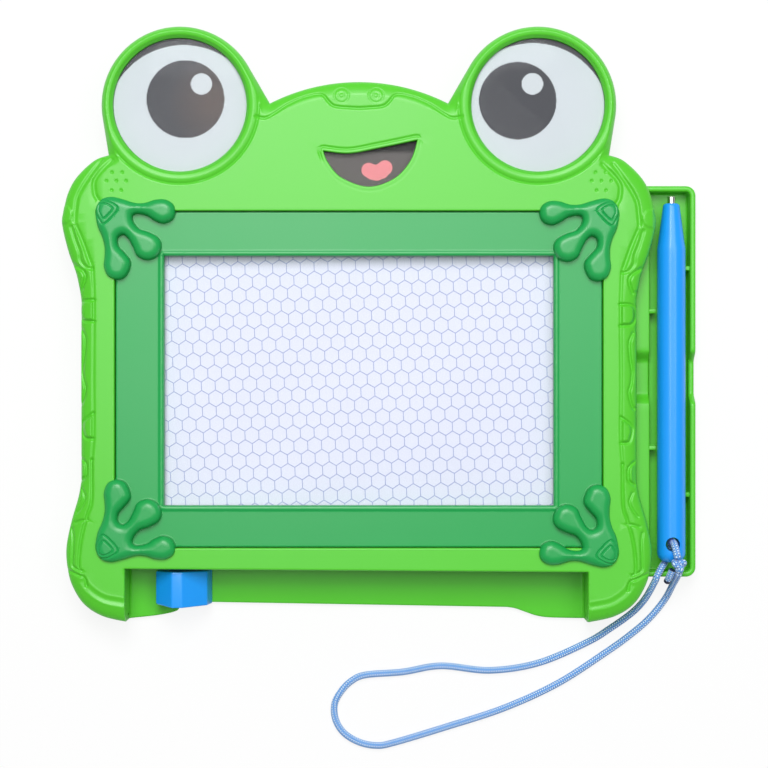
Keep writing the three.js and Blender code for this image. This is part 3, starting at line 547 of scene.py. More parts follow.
# Closed outlines of low raised patches on the band, most of them along its moulded lines
PATCHES = [
    [(88.6, 36.6), (87.2, 34.9), (86.9, 33.4), (87.6, 31.5), (88.8, 30.6), (91.5, 30.0), (91.5, 37.0)],
    GROOVES[4] + [(88.5, 11.5), (88.5, 18.0)],
    GROOVES[5],
    GROOVES[7],
    GROOVES[8],
    GROOVES[6] + [(88, -24), (88, -2)],
]
PATCH_RISE = 0.4
DOTS = [(75.5, 46.4), (72.4, 46.4), (77.2, 43.8), (74.2, 43.8), (71.2, 43.8), (75.6, 40.9), (72.7, 40.9)]
NOSTRIL = (5.3, 70.0)


def frog_half(step):
    """Right half of the outline from the bottom round to the top of the forehead, in stretches of points a
    step apart."""
    size = np.array([HALF_WIDTH, HALF_HEIGHT])
    lobe = smooth_curve(np.array(LOBE) * size, 20)[::-1]
    shoulder = smooth_curve(np.array(SHOULDER) * size, 20)[::-1]
    eye = np.array([EYE_X, EYE_Y])

    def touch(point, side):
        away = point - eye
        return np.arctan2(away[1], away[0]) + side * np.arccos(min(EYE_RADIUS / np.hypot(*away), 1))

    start, end = touch(shoulder[-1], 1), touch(BROW, -1)
    turn = np.linspace(start, end, 200)
    round_eye = eye + EYE_RADIUS * on_circle(turn)
    spread = np.arcsin(BROW[0] / FOREHEAD_RADIUS)
    middle = BROW[1] - np.sqrt(FOREHEAD_RADIUS**2 - BROW[0] ** 2)
    turn = np.linspace(spread, 0, 60)
    forehead = np.stack([FOREHEAD_RADIUS * np.sin(turn), middle + FOREHEAD_RADIUS * np.cos(turn)], axis=1)
    stretches = [np.vstack([lobe, shoulder]), np.vstack([shoulder[-1:], round_eye, BROW[None]]), forehead]
    return [even_steps(s, step) for s in stretches]


def frog_outline(step=0.5):
    """Whole outline, open at the ledge: from the ledge's right corner up round the head to its left corner."""
    right = frog_half(step)
    half = np.vstack([right[0], right[1][1:], right[2][1:]])
    left = half[-2::-1] * [-1, 1]
    whole = np.vstack([half, left]) + [FROG_X, 0]
    beyond = whole[(np.abs(whole[:, 0] - LEDGE_X) > LEDGE_HALF_WIDTH + 0.1) | (whole[:, 1] > 0)]
    first = even_steps(np.array([(LEDGE_X + LEDGE_HALF_WIDTH, beyond[0, 1]), beyond[0]]), step)[:-1]
    last = even_steps(np.array([beyond[-1], (LEDGE_X - LEDGE_HALF_WIDTH, beyond[-1, 1])]), step)[1:]
    return np.vstack([first, beyond, last])


def near_line(points, line, reach, chunk=3000):
    """Distance from each point to a line of points, infinite out of reach of the line's box."""
    low, high = line.min(axis=0) - reach, line.max(axis=0) + reach
    found = np.full(len(points), np.inf)
    inside = np.flatnonzero(((points > low) & (points < high)).all(axis=1))
    start, run = line[:-1], np.diff(line, axis=0)
    square = (run**2).sum(axis=1)
    for part in np.array_split(inside, max(len(inside) // chunk, 1)):
        away = points[part][:, None] - start
        share = np.clip((away * run).sum(axis=2) / square, 0, 1)
        found[part] = np.sqrt(((away - share[..., None] * run) ** 2).sum(axis=2).min(axis=1))
    return found


def within(points, polygon, chunk=4000):
    """Whether each point is inside a closed polygon: a ray to the right crosses it an odd number of times."""
    found = np.zeros(len(points), bool)
    low, high = polygon.min(axis=0), polygon.max(axis=0)
    near = np.flatnonzero(((points >= low) & (points <= high)).all(axis=1))
    ax, ay = polygon.T
    bx, by = np.roll(polygon, -1, axis=0).T
    flat = by == ay
    lean = (bx - ax) / np.where(flat, 1, by - ay)
    for part in np.array_split(near, max(len(near) // chunk, 1)):
        x, y = points[part, 0][:, None], points[part, 1][:, None]
        crosses = ((ay > y) != (by > y)) & (x < ax + (y - ay) * lean)
        found[part] = crosses.sum(axis=1) % 2 == 1
    return found


def soft_step(low, high, x):
    """0 below low, 1 above high, and 3t² − 2t³ in between."""
    t = np.clip((x - low) / (high - low), 0, 1)
    return t * t * (3 - 2 * t)


def rounding(distance, radius):
    """How far an edge rounded by that radius has dropped at a distance from it."""
    t = np.clip(1 - distance / radius, 0, 1)
    return radius * (1 - np.sqrt(1 - t**2))


def cup(distance, half_width):
    """Round-bottomed groove: 1 on its line, 0 from its half width."""
    return np.where(distance < half_width, np.cos(np.pi * np.minimum(distance, half_width) / (2 * half_width)) ** 2, 0)


def bead(distance, middle, half_width, height):
    """Height of a round bead, or of a dip where it is negative."""
    return height * cup(np.abs(distance - middle), half_width)


def box_distance(points, box):
    """Distance from points outside a rectangle to its edge, 0 inside."""
    left, low, right, high = box
    x = np.maximum(np.maximum(left - points[:, 0], points[:, 0] - right), 0)
    y = np.maximum(np.maximum(low - points[:, 1], points[:, 1] - high), 0)
    return np.hypot(x, y)


def mouth_line(margin=0.0, steps=24):
    """The mouth's two smooth curves as one closed loop, counter-clockwise, moved out by a margin."""
    def curve(shares, side):
        places = np.array(shares, float)
        lift = np.full(len(places), side * margin)
        lift[[0, -1]] = 0
        x = MOUTH_X + places[:, 0] * (MOUTH_HALF_WIDTH + margin)
        y = MOUTH_Y + places[:, 1] * MOUTH_HALF_WIDTH + lift
        return smooth_curve(np.stack([x, y], axis=1)[::-1], steps)

    return np.vstack([curve(MOUTH_BOTTOM, -1), curve(MOUTH_TOP, 1)[1:-1]])


def both_sides(line):
    """A line of the right half and its mirror image, in place."""
    line = np.asarray(line, float)
    return [line + [FROG_X, 0], line * [-1, 1] + [FROG_X, 0]]


def band_sides(line):
    """A line of the band at the right and at the left, a little apart from its mirror image."""
    right, left = both_sides(line)
    return [right + [-0.7, -1.3], left + [-0.3, 0]]


def moulded(table, sides=band_sides):
    """Smooth lines of even points at both sides of the face."""
    return [even_steps(smooth_curve(side, 8), 0.3) for line in table for side in sides(line)]


def nearest(points, table, reach):
    """Distance from each point to the nearest of some lines."""
    return np.min([near_line(points, line, reach) for line in table], axis=0)


outline = frog_outline()
mouth = mouth_line()
groove_lines = moulded(GROOVES)
forehead_lines = moulded([FOREHEAD_LINE], both_sides)
band_lines = moulded([BAND_LINE])
channels = moulded([CHANNEL])
patch_shapes = [side for line in PATCHES for side in band_sides(line)]
dot_places = np.array([side[0] for dot in DOTS for side in both_sides([dot])])
nostril_places = [side[0] for side in both_sides([NOSTRIL])]
eye_places = [np.array([FROG_X - EYE_X, EYE_Y]), np.array([FROG_X + EYE_X, EYE_Y])]


def face_height(points):
    """Height of the face: flat, less a band that slopes and rounds over to the outline, with a bead round each
    eye and the mouth, and the moulded lines and patches."""
    eye = np.minimum(*[np.hypot(*(points - place).T) for place in eye_places])
    edge = near_line(points, outline, 8)
    width = BAND_AT_EYES + (BAND_WIDTH - BAND_AT_EYES) * soft_step(23.6, 25.6, eye)
    u = np.clip(1 - edge / width, 0, 1)
    slope = (1.1 * u + 2.2 * (1 - (1 - u**2.6) ** (1 / 2.6))) / BAND_DROP
    z = FACE_Z - BAND_DROP * slope
    z += bead(eye, *EYE_BEAD) - EYE_SINK * (1 - soft_step(EYE_HOLE - 0.3, 21.6, eye))
    z += bead(eye, *EYE_DIP) * soft_step(0.8, 2.5, edge)
    wide = GROOVE_HALF_WIDTH + 0.3 * soft_step(14, 18, points[:, 1]) * (1 - soft_step(52, 56, points[:, 1]))
    z -= GROOVE_DEPTH * cup(nearest(points, groove_lines, 1.4), wide)
    z -= BAND_LINE_DEPTH * cup(nearest(points, band_lines, 1), GROOVE_HALF_WIDTH)
    z -= FOREHEAD_DEPTH * cup(nearest(points, forehead_lines, 1), FOREHEAD_HALF_WIDTH)
    for line in channels:
        far = near_line(points, line, 3)
        z += bead(far, *CHANNEL_LIP) - CHANNEL_DEPTH * cup(far, CHANNEL_HALF_WIDTH)
    for shape in patch_shapes:
        depth = np.where(within(points, shape), near_line(points, looped(shape), 1), 0)
        z += PATCH_RISE * soft_step(0.1, 1.0, np.where(np.isfinite(depth), depth, 1))
    for place in dot_places:
        z += bead(np.hypot(*(points - place).T), *DOT_DIP)
    for place in nostril_places:
        far = np.hypot(*(points - place).T)
        z += sum(bead(far, *ring) for ring in NOSTRIL_RINGS)
    lip = near_line(points, looped(mouth), 4)
    above = soft_step(-1.0, 3.0, points[:, 1] - MOUTH_Y - 0.17 * (points[:, 0] - MOUTH_X) - 4.0)
    z -= (0.03 + 0.3 * above) * cup(np.abs(lip - 1.3), 0.65) + rounding(lip, 0.3)
    z -= rounding(box_distance(points, POCKET), 0.35)
    return z - rounding(near_line(points, ledge_walls, 1), 0.45)


def beside(line, offsets, closed=False):
    """Rows of points at sideways distances from a line, to the left of its direction where positive."""
    ahead = np.gradient(line, axis=0) if not closed else np.roll(line, -1, axis=0) - np.roll(line, 1, axis=0)
    ahead /= np.linalg.norm(ahead, axis=1)[:, None]
    across = np.stack([-ahead[:, 1], ahead[:, 0]], axis=1)
    return np.vstack([line + across * offset for offset in offsets])


def box_loop(box, margin=0.0, step=1.0):
    """Points round a rectangle grown by a margin, counter-clockwise, as many at every margin."""
    left, low, right, high = box
    across, up = (max(int((b - a) / step), 1) for a, b in ((left, right), (low, high)))
    x0, x1, y0, y1 = left - margin, right + margin, low - margin, high + margin
    corners = [(x0, y0), (x1, y0), (x1, y1), (x0, y1), (x0, y0)]
    sides = zip(corners, corners[1:], (across, up, across, up))
    return np.vstack([np.linspace(a, b, n, endpoint=False) for a, b, n in sides])


def ring_loop(place, radius, sides):
    """Points round a circle, counter-clockwise."""
    return place + radius * on_circle(full_turn(sides))


def filled_face(loops, extra, keep, fineness=0.09):
    """Triangles between boundary loops, through the extra points that aren't on them. keep says which middles
    of triangles stay."""
    gaps = [near_line(extra, looped(points), 1) for points in loops]
    extra = extra[np.min(gaps, axis=0) > fineness]
    seen = np.vstack(loops + [extra])
    fixed = sum(len(l) for l in loops)
    _, first = np.unique(np.round(seen / fineness).astype(np.int64), axis=0, return_index=True)
    free = first[first >= fixed]
    points = np.vstack([seen[:fixed], seen[free]])
    edges, start = [], 0
    for loop_points in loops:
        n = len(loop_points)
        edges += [(start + i, start + (i + 1) % n) for i in range(n)]
        start += n
    made = delaunay_2d_cdt([Vector(p) for p in points], edges, [], 0, 1e-6)
    corners = np.array([tuple(p) for p in made[0]])
    given = np.array([sources[0] if sources else -1 for sources in made[3]])
    corners[given >= 0] = points[given[given >= 0]]
    faces = np.array([f for f in made[2] if len(f) == 3])
    return corners, faces[keep(corners[faces].mean(axis=1))]


def strip(rows, closed=True):
    """Surface through rows of as many points each."""
    return np.vstack(rows), grid_faces(len(rows), len(rows[0]), close_columns=closed)


def at_height(line, z):
    """Plane points set at a height, or at a height each."""
    return columns(*line.T, z)


def stacked(rows, closed=True):
    """Surface through rows of plane points, each with its height or heights."""
    return strip([at_height(line, z) for line, z in rows], closed)


# Front shell of the case

ledge_left = np.array([LEDGE_X - LEDGE_HALF_WIDTH, LEDGE_LEFT_Y])
ledge_right = np.array([LEDGE_X + LEDGE_HALF_WIDTH, LEDGE_RIGHT_Y])
# Distances of the rows of points from the lines and edges of the face, close where it bends
EDGE_ROWS = [0.13, 0.26, 0.42, 0.65, 1.05, 1.55, 2.2, 3.0, 3.7, 4.15, 4.5, 5.2]
LEDGE_ROWS = [0.13, 0.26, 0.45, 0.7]
GROOVE_ROWS = both_ways(0.2, 0.39, 0.58, 0.78, 1.08)
CHANNEL_ROWS = both_ways(0.3, 0.6, 0.85, 1.1, 1.35, 1.6, 1.85, 2.1)
PATCH_ROWS = [0.1, 0.3, 0.55, 0.8, 1.05, -0.1, -0.3, -0.55, -0.8, -1.05]
DOT_ROWS = [0.05, 0.25, 0.45, 0.62, 0.75, 0.95]
NOSTRIL_ROWS = [0.1, 0.5, 0.7, 0.9, 1.1, 1.3, 1.75, 1.95, 2.2, 2.45, 2.65, 2.9]
MOUTH_ROWS = [-0.13, -0.22, -0.33, -0.45, -0.6, -0.8, -1.0, -1.2, -1.4, -1.6, -1.8, -2.0, -2.2, -2.45]
POCKET_ROWS = [-0.13, -0.24, -0.35, -0.6]
EYE_SIDES = 240


def up_wall(start, top):
    """Points up one end of the ledge, from the outline to a corner: close at first, as beside the outline."""
    y = start[1] + np.array([0, *EDGE_ROWS, *np.arange(6, 14.5, 0.8)])
    return np.vstack([columns(start[0], y), top])


left_wall, right_wall = up_wall(outline[-1], ledge_left), up_wall(outline[0], ledge_right)[::-1]
back_wall = even_steps(np.vstack([ledge_left, ledge_right]), 0.8)
ledge_walls = np.vstack([left_wall, back_wall[1:-1], right_wall])
case_loop = np.vstack([outline, ledge_walls[1:-1]])
pocket_loop = box_loop(POCKET)
eye_loops = [ring_loop(place, EYE_HOLE, EYE_SIDES) for place in eye_places]
band_rows = beside(outline, EDGE_ROWS)
band_gap = np.abs(near_line(band_rows, outline, 8) - np.repeat(EDGE_ROWS, len(outline)))
brows = both_sides([BROW, np.array(SHOULDER[0]) * [HALF_WIDTH, HALF_HEIGHT]])
fan_middles = [side[k] for k in (0, 1) for side in brows]
ledge_ways = [(left_wall, (-1, 0)), (back_wall, (0, 1)), (right_wall, (1, 0))]
ledge_ways += [(ledge_left, (-1, 1)), (ledge_right, (1, 1))]
face_points = np.vstack([
    band_rows[band_gap < 0.05],
    *[ring_loop(p, r, 72) for p in fan_middles for r in EDGE_ROWS],
    *[ring_loop(p, r, EYE_SIDES) for p in eye_places for r in EYE_HOLE + np.arange(0.14, 5.3, 0.22)],
    *[beside(line, GROOVE_ROWS) for line in groove_lines + band_lines + forehead_lines],
    *[beside(line, CHANNEL_ROWS) for line in channels],
    *[beside(even_steps(looped(shape), 0.4), PATCH_ROWS) for shape in patch_shapes],
    *[ring_loop(p, r, 14) for p in dot_places for r in DOT_ROWS],
    *[ring_loop(p, r, 40) for p in nostril_places for r in NOSTRIL_ROWS],
    beside(mouth, MOUTH_ROWS, closed=True),
    beside(pocket_loop, POCKET_ROWS, closed=True),
    *[line + np.array(way) * row for line, way in ledge_ways for row in LEDGE_ROWS],
    grid_points(np.arange(-97, 86, 2.5), np.arange(-91, 92, 2.5)),
])
face_points = face_points[within(face_points, case_loop)]


def on_face(points):
    """Inside the case's outline, and in none of its openings."""
    inside = within(points, case_loop) & ~within(points, mouth)
    inside &= box_distance(points, POCKET) > 0
    for place in eye_places:
        inside &= np.hypot(*(points - place).T) > EYE_HOLE * 0.9999
    return inside


face_points = face_points[on_face(face_points)]
face, face_tris = filled_face([case_loop, pocket_loop, mouth, *eye_loops], face_points, on_face)


def face_side(loop_points, *rows):
    """Side of the face at a loop of its edge, through rows of plane points with their heights."""
    return stacked([(loop_points, face_height(loop_points)), *rows])


case_foot = beside(case_loop, [0.0, 0.12, 0.6], closed=True).reshape(3, -1, 2)
pocket_floor = box_loop(POCKET, -POCKET_FLOOR_WIDTH)
eye_seats = [ring_loop(place, EYE_HOLE - EYE_SEAT_WIDTH, EYE_SIDES) for place in eye_places]
shell = put_mesh(
    "frog_face_shell",
    [
        (at_height(face, face_height(face)), face_tris),
        face_side(case_loop, *zip(case_foot, (SHELL_LOW_Z + 0.15, SHELL_LOW_Z, SHELL_LOW_Z))),
        face_side(
            pocket_loop,
            (pocket_loop, POCKET_FLOOR_Z),
            (pocket_floor, POCKET_FLOOR_Z),
            (pocket_floor, POCKET_FLOOR_Z - POCKET_FLOOR_THICKNESS),
        ),
        face_side(mouth, (mouth, FACE_Z - WALL), (mouth_line(WALL), FACE_Z - WALL)),
        *[
            face_side(edge, (edge, EYE_SEAT_Z), (seat, EYE_SEAT_Z), (seat, EYE_SEAT_Z - EYE_SEAT_THICKNESS))
            for edge, seat in zip(eye_loops, eye_seats)
        ],
    ],
    case_green,
)
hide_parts("front_shell")
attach(shell, "board")


# Frame round the screen, one moulding with its four feet

FRAME = (-80.97, -68.2, 67.97, 34.4)
VIEW = (-66.27, -55.6, 53.27, 21.0)
FRAME_TOP_Z = 15.2
FRAME_ROUND = 0.3
VIEW_BEAD = 0.3
VIEW_ROUND = 0.6
FRAME_LOW_Z = 12.9
SKIRT_LOW_Z = 10.9
FOOT_TOP_Z = 19.1
FOOT_ROUND = 2.6
FOOT_DROP = 2.1
FOOT_FILLET = 0.25
FOOT_OVER_CASE_Z = 16.6
FOOT_CORNER = (6.7, 4.5)
FOOT_UNIT = 0.3045
FOOT_SHIFT = {(1, 1): (-0.85, -0.5), (1, -1): (-1.0, -1.6), (-1, 1): (0, 0), (-1, -1): (0, 0)}
# Outline of a foot from its outer corner, along the frame and up it, in units
FOOT_OUTLINE = [
    (3, 22), (2.5, 12), (8, 3), (18, 0), (30, 2.5), (42, 6), (52, 6), (62, 3), (72, 2.6), (80, 7),
    (82.3, 14.4), (79, 22.5), (70.5, 26.2), (62, 23.5), (54, 18.5), (45, 16.5), (39.5, 18.5), (40, 25),
    (46, 32), (56, 35.6), (65, 41), (68.1, 49.3), (64, 59), (54.4, 63), (44.5, 59), (40, 50), (35, 41),
    (29.5, 37.5), (24.5, 41), (25, 49), (31, 56), (36.5, 63), (36.8, 70), (32, 79.5), (23.8, 82.8),
    (15, 79.5), (10.8, 70), (11.5, 60), (11.5, 50), (9, 40), (5, 31),
]
# Rounded triangle moulded into each palm
EMBLEM = [
    (3.2, 8.8), (5.5, 5.0), (10.8, 3.9), (17.3, 5.5), (25.4, 11.5), (20.5, 19.6), (10.8, 27.7), (5.9, 21.8),
    (3.2, 16.4),
]
EMBLEM_MIDDLE = (12.6, 13.4)
EMBLEM_INNER = 0.62
EMBLEM_SHIFT = 0.36
EMBLEM_DIP = (0, 0.42, -0.32)


def closed_curve(points, steps):
    """Smooth closed curve through the points."""
    p = np.asarray(points, float)
    whole = smooth_curve(np.vstack([p[-2:], p, p[:2]]), steps)
    return whole[2 * steps:(2 + len(p)) * steps]


def foot_place(points, side_x, side_y):
    """Units from a foot's outer corner, turned to one of the frame's corners."""
    left, low, right, high = FRAME
    corner_x = right + FOOT_CORNER[0] if side_x > 0 else left - FOOT_CORNER[0]
    corner_y = high + FOOT_CORNER[1] if side_y > 0 else low - FOOT_CORNER[1]
    p = np.asarray(points, float) * FOOT_UNIT
    return np.stack([corner_x - side_x * p[:, 0], corner_y - side_y * p[:, 1]], axis=1) + FOOT_SHIFT[side_x, side_y]


corners = [(x, y) for x in (-1, 1) for y in (-1, 1)]
foot_line = closed_curve(FOOT_OUTLINE, 12)
foot_line = even_steps(looped(foot_line), 0.25 / FOOT_UNIT)[:-1]
feet = [foot_place(foot_line if x * y > 0 else foot_line[::-1], x, y) for x, y in corners]
emblem_inner = (np.array(EMBLEM) - EMBLEM_MIDDLE) * EMBLEM_INNER + EMBLEM_MIDDLE - EMBLEM_SHIFT
emblems = [foot_place(closed_curve(shape, 8), x, y) for x, y in corners for shape in (EMBLEM, emblem_inner)]


def foot_depth(points):
    """How far each point is inside the nearest foot's outline, negative outside."""
    depth = np.full(len(points), -np.inf)
    for foot in feet:
        far = near_line(points, looped(foot), 12)
        depth = np.maximum(depth, np.where(within(points, foot), far, -far))
    return depth


def frame_height(points):
    """Top of the frame: a flat plate with a low bead round the window; feet that rise from it by a fillet and
    round over to a flat top with the moulded triangles."""
    window = box_distance(points, VIEW)
    left, low, right, high = FRAME
    x, y = points.T
    edge = np.minimum(np.minimum(x - left, right - x), np.minimum(y - low, high - y))
    plate = FRAME_TOP_Z - rounding(np.maximum(edge, 0), FRAME_ROUND)
    plate += VIEW_BEAD * (1 - soft_step(1.0, 1.7, window)) - rounding(window, VIEW_ROUND)
    depth = foot_depth(points)
    outside = np.clip(-depth, 0, FOOT_FILLET)
    fillet = FOOT_FILLET - np.sqrt(FOOT_FILLET**2 - (FOOT_FILLET - outside) ** 2)
    crown = FOOT_TOP_Z - FOOT_DROP / FOOT_ROUND * rounding(np.maximum(depth, 0), FOOT_ROUND)
    for line in emblems:
        crown += bead(near_line(points, looped(line), 1), *EMBLEM_DIP)
    return np.where(depth > -0.01, crown, plate + fillet)


def side_below(points, faces, low):
    """Side that goes straight down from the open edges of a face to a height at each point."""
    edges = np.vstack([faces[:, [0, 1]], faces[:, [1, 2]], faces[:, [2, 0]]])
    key, count = np.unique(np.sort(edges, axis=1), axis=0, return_counts=True)
    once = {tuple(k) for k in key[count == 1]}
    rim = np.array([e for e in edges.tolist() if tuple(sorted(e)) in once])
    base = len(points)
    under = points.copy()
    under[:, 2] = low
    return np.vstack([points, under]), np.stack([rim[:, 1], rim[:, 0], rim[:, 0] + base, rim[:, 1] + base], axis=1)


def on_frame(points):
    """On the plate or a foot, and not in the window."""
    shown = box_distance(points, FRAME) <= 0
    for foot in feet:
        shown |= within(points, foot)
    return shown & (box_distance(points, VIEW) > 0)


FOOT_ROWS = [0.11, 0.22, 0.35, 0.55, 0.85, 1.2, 1.6, 2.0, 2.4, 2.8, 3.3, 3.9, -0.11, -0.18, -0.25, -0.45, -1.1]
EMBLEM_ROWS = both_ways(0.12, 0.25, 0.42, 0.6)
VIEW_ROWS = [-0.1, -0.2, -0.35, -0.6, -0.85, -1.0, -1.2, -1.45, -1.7, -2.0]
foot_points = np.vstack([beside(f, FOOT_ROWS, closed=True) for f in feet])
wanted = np.tile(np.repeat(np.abs(FOOT_ROWS), len(foot_line)), len(feet))
foot_points = foot_points[np.abs(np.abs(foot_depth(foot_points)) - wanted) < 0.03]
plate_rows = np.vstack([
    *[beside(even_steps(looped(emblem), 0.25), EMBLEM_ROWS) for emblem in emblems],
    beside(box_loop(VIEW), VIEW_ROWS, closed=True),
    beside(box_loop(FRAME), [0.11, 0.2, 0.3, 0.6], closed=True),
    grid_points(np.arange(-89, 77, 2.2), np.arange(-75, 41, 2.2)),
])
frame_points = np.vstack([foot_points, plate_rows[np.abs(foot_depth(plate_rows)) > 0.15]])
frame_points = frame_points[on_frame(frame_points)]
plate, plate_tris = filled_face([box_loop(FRAME), box_loop(VIEW), *feet], frame_points, on_frame, fineness=0.07)
plate_points = at_height(plate, frame_height(plate))
over_case = box_distance(plate, FRAME) > 0.001
in_window = box_distance(plate, VIEW) < 0.001
plate_low = np.where(over_case, FOOT_OVER_CASE_Z, np.where(in_window, SKIRT_LOW_Z, FRAME_LOW_Z))
under_feet = (at_height(plate, plate_low), plate_tris[over_case[plate_tris].any(axis=1)][:, ::-1])
skirt_rows = ((0.0, SKIRT_LOW_Z), (1.5, SKIRT_LOW_Z), (1.5, FRAME_LOW_Z), (14.0, FRAME_LOW_Z))
skirt = stacked([(box_loop(VIEW, margin), z) for margin, z in skirt_rows])
bezel = put_mesh(
    "bezel_with_feet",
    [(plate_points, plate_tris), side_below(plate_points, plate_tris, plate_low), under_feet, skirt],
    frame_green,
)
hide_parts("bezel_frame")
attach(bezel, "board")


# Honeycomb of the screen: cells of thin blue walls, filled with white

CORE = (-67.57, -56.9, 54.57, 22.3)
CORE_LOW_Z = 9.1
CORE_TOP_Z = 10.28
FILL_TOP_Z = 10.2
CELL_PITCH = 4.27
CELL_ROW = 3.93
CELL_TURN = math.radians(2.4)
CELL_START = (-63.2, 20.0)
CELL_WALL = 0.11


def honeycomb():
    """Hexagons on a turned grid, each second row moved half a pitch. Each has the six slabs of its wall and a
    fill face a little lower; corners past the core's edge are moved back to it."""
    row, column = (a.ravel() for a in np.meshgrid(np.arange(-30, 8), np.arange(-6, 40), indexing="ij"))
    x = (column + 0.5 * (row % 2)) * CELL_PITCH
    y = row * CELL_ROW
    c, s = math.cos(CELL_TURN), math.sin(CELL_TURN)
    middle = np.stack([CELL_START[0] + c * x - s * y, CELL_START[1] + s * x + c * y], axis=1)
    middle = middle[box_distance(middle, CORE) < 1.5]
    tall = CELL_ROW / 1.5
    ring = np.array([(0.5 * CELL_PITCH, 0.5 * tall), (0, tall), (-0.5 * CELL_PITCH, 0.5 * tall)])
    ring = np.vstack([ring, -ring]) @ np.array([[c, s], [-s, c]])
    shrink = 1 - CELL_WALL / (CELL_PITCH / 2)
    left, low, right, high = CORE
    outer = np.clip(middle[:, None] + ring, (left, low), (right, high))
    inner = np.clip(middle[:, None] + ring * shrink, (left, low), (right, high))
    count = len(middle)
    levels = ((outer, CORE_TOP_Z), (inner, CORE_TOP_Z), (inner, FILL_TOP_Z))
    points = np.concatenate([np.dstack([shape, np.full((count, 6), z)]) for shape, z in levels], axis=1).reshape(-1, 3)
    k = np.arange(6)
    n = (k + 1) % 6
    slab = np.stack([k, n, n + 6, k + 6], axis=1)
    side = np.stack([k + 6, n + 6, n + 12, k + 12], axis=1)
    start = (np.arange(count) * 18)[:, None, None]
    walls = (np.concatenate([slab, side])[None] + start).reshape(-1, 4)
    fill = (np.arange(12, 18)[None] + start[:, 0]).reshape(-1, 6)
    return points, walls, fill


cell_points, cell_walls, cell_fill = honeycomb()
core_rim = stacked([(box_loop(CORE), CORE_TOP_Z), (box_loop(CORE), CORE_LOW_Z)])
cells = put_mesh(
    "honeycomb_cells",
    [(cell_points, cell_walls), (cell_points, cell_fill), core_rim],
    cell_blue,
    sharp=math.radians(20),
)
cells.data.materials.append(cell_white)
faces_are_fill = np.array([len(f.vertices) == 6 for f in cells.data.polygons], np.int32)
cells.data.polygons.foreach_set("material_index", faces_are_fill)
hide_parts("screen_honeycomb_core")
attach(cells, "board")


# Rear half of the case, with the pen tray and the eraser ledge

BASE_CHAMFER = 1.0
FLOOR_Z = 2.0
TRAY = (60.0, -78.0, 97.7, 43.0)
TRAY_CORNER = 3.0
TRAY_WALL = 1.8
TRAY_TOP_Z = 8.5
TRAY_ROUND = 0.75
TRAY_START_X = 81.6
SHELF_X = (74.0, 78.0)
SHELF_ROUND = 0.4
TRAY_INNER = (83.6, -76.2, 95.9, 41.2)
SCOOP_Y = -16.3
SCOOP_HALF = 8.5
SCOOP_Z = 4.5
# Share of the scoop's half width that is level
SCOOP_LEVEL = 0.55
RIB_PLACES = (16.4, -51.4)
RIB_HALF = 0.8
RIB_TOP_Z = 4.9
RIB_REACH = 3
BAR_ROUND = 0.25
RIGHT_PEGS = (17.6, -52.6)
LEFT_PEGS = (4.3, -38.1)
PEG_HALF = 0.7
PEG_TOP_Z = 7.0
RIGHT_PEG_X = 94.7
LEFT_PEG_X = 85.4
SLIT_Z = 3.5
SILL_DEPTH = 2.3
INNER_FLOOR_Z = 1.7
PEN_X = 89.95
COVE = 1.0
LEDGE_EDGE_LEFT = [
    (-71.6, -91.5), (-70.0, -91.3), (-64.2, -90.7), (-59.5, -89.9), (-57.2, -89.2), (-56.5, -88.6),
    (-56.3, -87.4), (-55.6, -86.6), (-54.5, -86.3),
]
LEDGE_EDGE_RIGHT = [
    (46.0, -88.0), (48.6, -88.4), (51.8, -89.5), (55.0, -90.6), (58.5, -91.2), (64, -91.4), (70.2, -91.5),
]
SCREWS = [(31.0, 51.2), (82.1, 30.2), (79.8, -78.7)]
SCREW_HEAD = 2.9
SCREW_HEAD_Z = 1.2
SCREW_WELL = 3.2
SCREW_DOME = 0.7
CROSS_DEPTH = 0.9
# Where the cross ends: half the width of its arms and their length, each from full depth to none
CROSS_WIDTH = (0.22, 0.34)
CROSS_LENGTH = (1.3, 1.6)


def scooped(y, z, top):
    """Heights of a wall's rows, lowered at the finger scoop, with the wall's own top rounding kept."""
    far = np.abs(y - SCOOP_Y) / SCOOP_HALF
    dip = SCOOP_Z + (top - SCOOP_Z) * soft_step(SCOOP_LEVEL, 1.0, far)
    return np.minimum(z, dip - np.minimum(top - z, TRAY_ROUND))


def tray_line(step=0.5):
    """Outer edge of the tray, from inside the case's shoulder round both corners to inside its lobe."""
    left, low, right, high = TRAY
    turn = np.linspace(0, np.pi / 2, 12)
    arc = TRAY_CORNER * on_circle(turn)
    upper = np.array([right - TRAY_CORNER, high - TRAY_CORNER]) + arc[::-1]
    lower = np.array([right - TRAY_CORNER, low + TRAY_CORNER]) + arc * [1, -1]
    return even_steps(np.vstack([(TRAY_START_X, high), upper, lower, (TRAY_START_X, low)]), step)


def tray_wall():
    """The tray's wall: up its outer side, over a rounded top, down its inner side and round to the floor."""
    path = tray_line()
    turn = np.linspace(0, np.pi / 2, 6)
    out, up = TRAY_ROUND * (1 - np.cos(turn)), TRAY_ROUND * (np.sin(turn) - 1)
    inset = np.concatenate([[0.0], out, TRAY_WALL - out[::-1], [TRAY_WALL, TRAY_WALL + 0.15, TRAY_WALL + 0.5]])
    height = np.concatenate([[0.0], TRAY_TOP_Z + up, TRAY_TOP_Z + up[::-1], [FLOOR_Z + 0.5, FLOOR_Z + 0.15, FLOOR_Z]])
    rows = beside(path, -inset).reshape(len(inset), -1, 2)
    heights = [scooped(row[:, 1], z, TRAY_TOP_Z) for row, z in zip(rows, height)]
    return stacked(zip(rows, heights), closed=False)


def paired(places, gap=0.02):
    """Each place twice, just before and just after it."""
    return [p + side * gap for p in places for side in (-1, 1)]


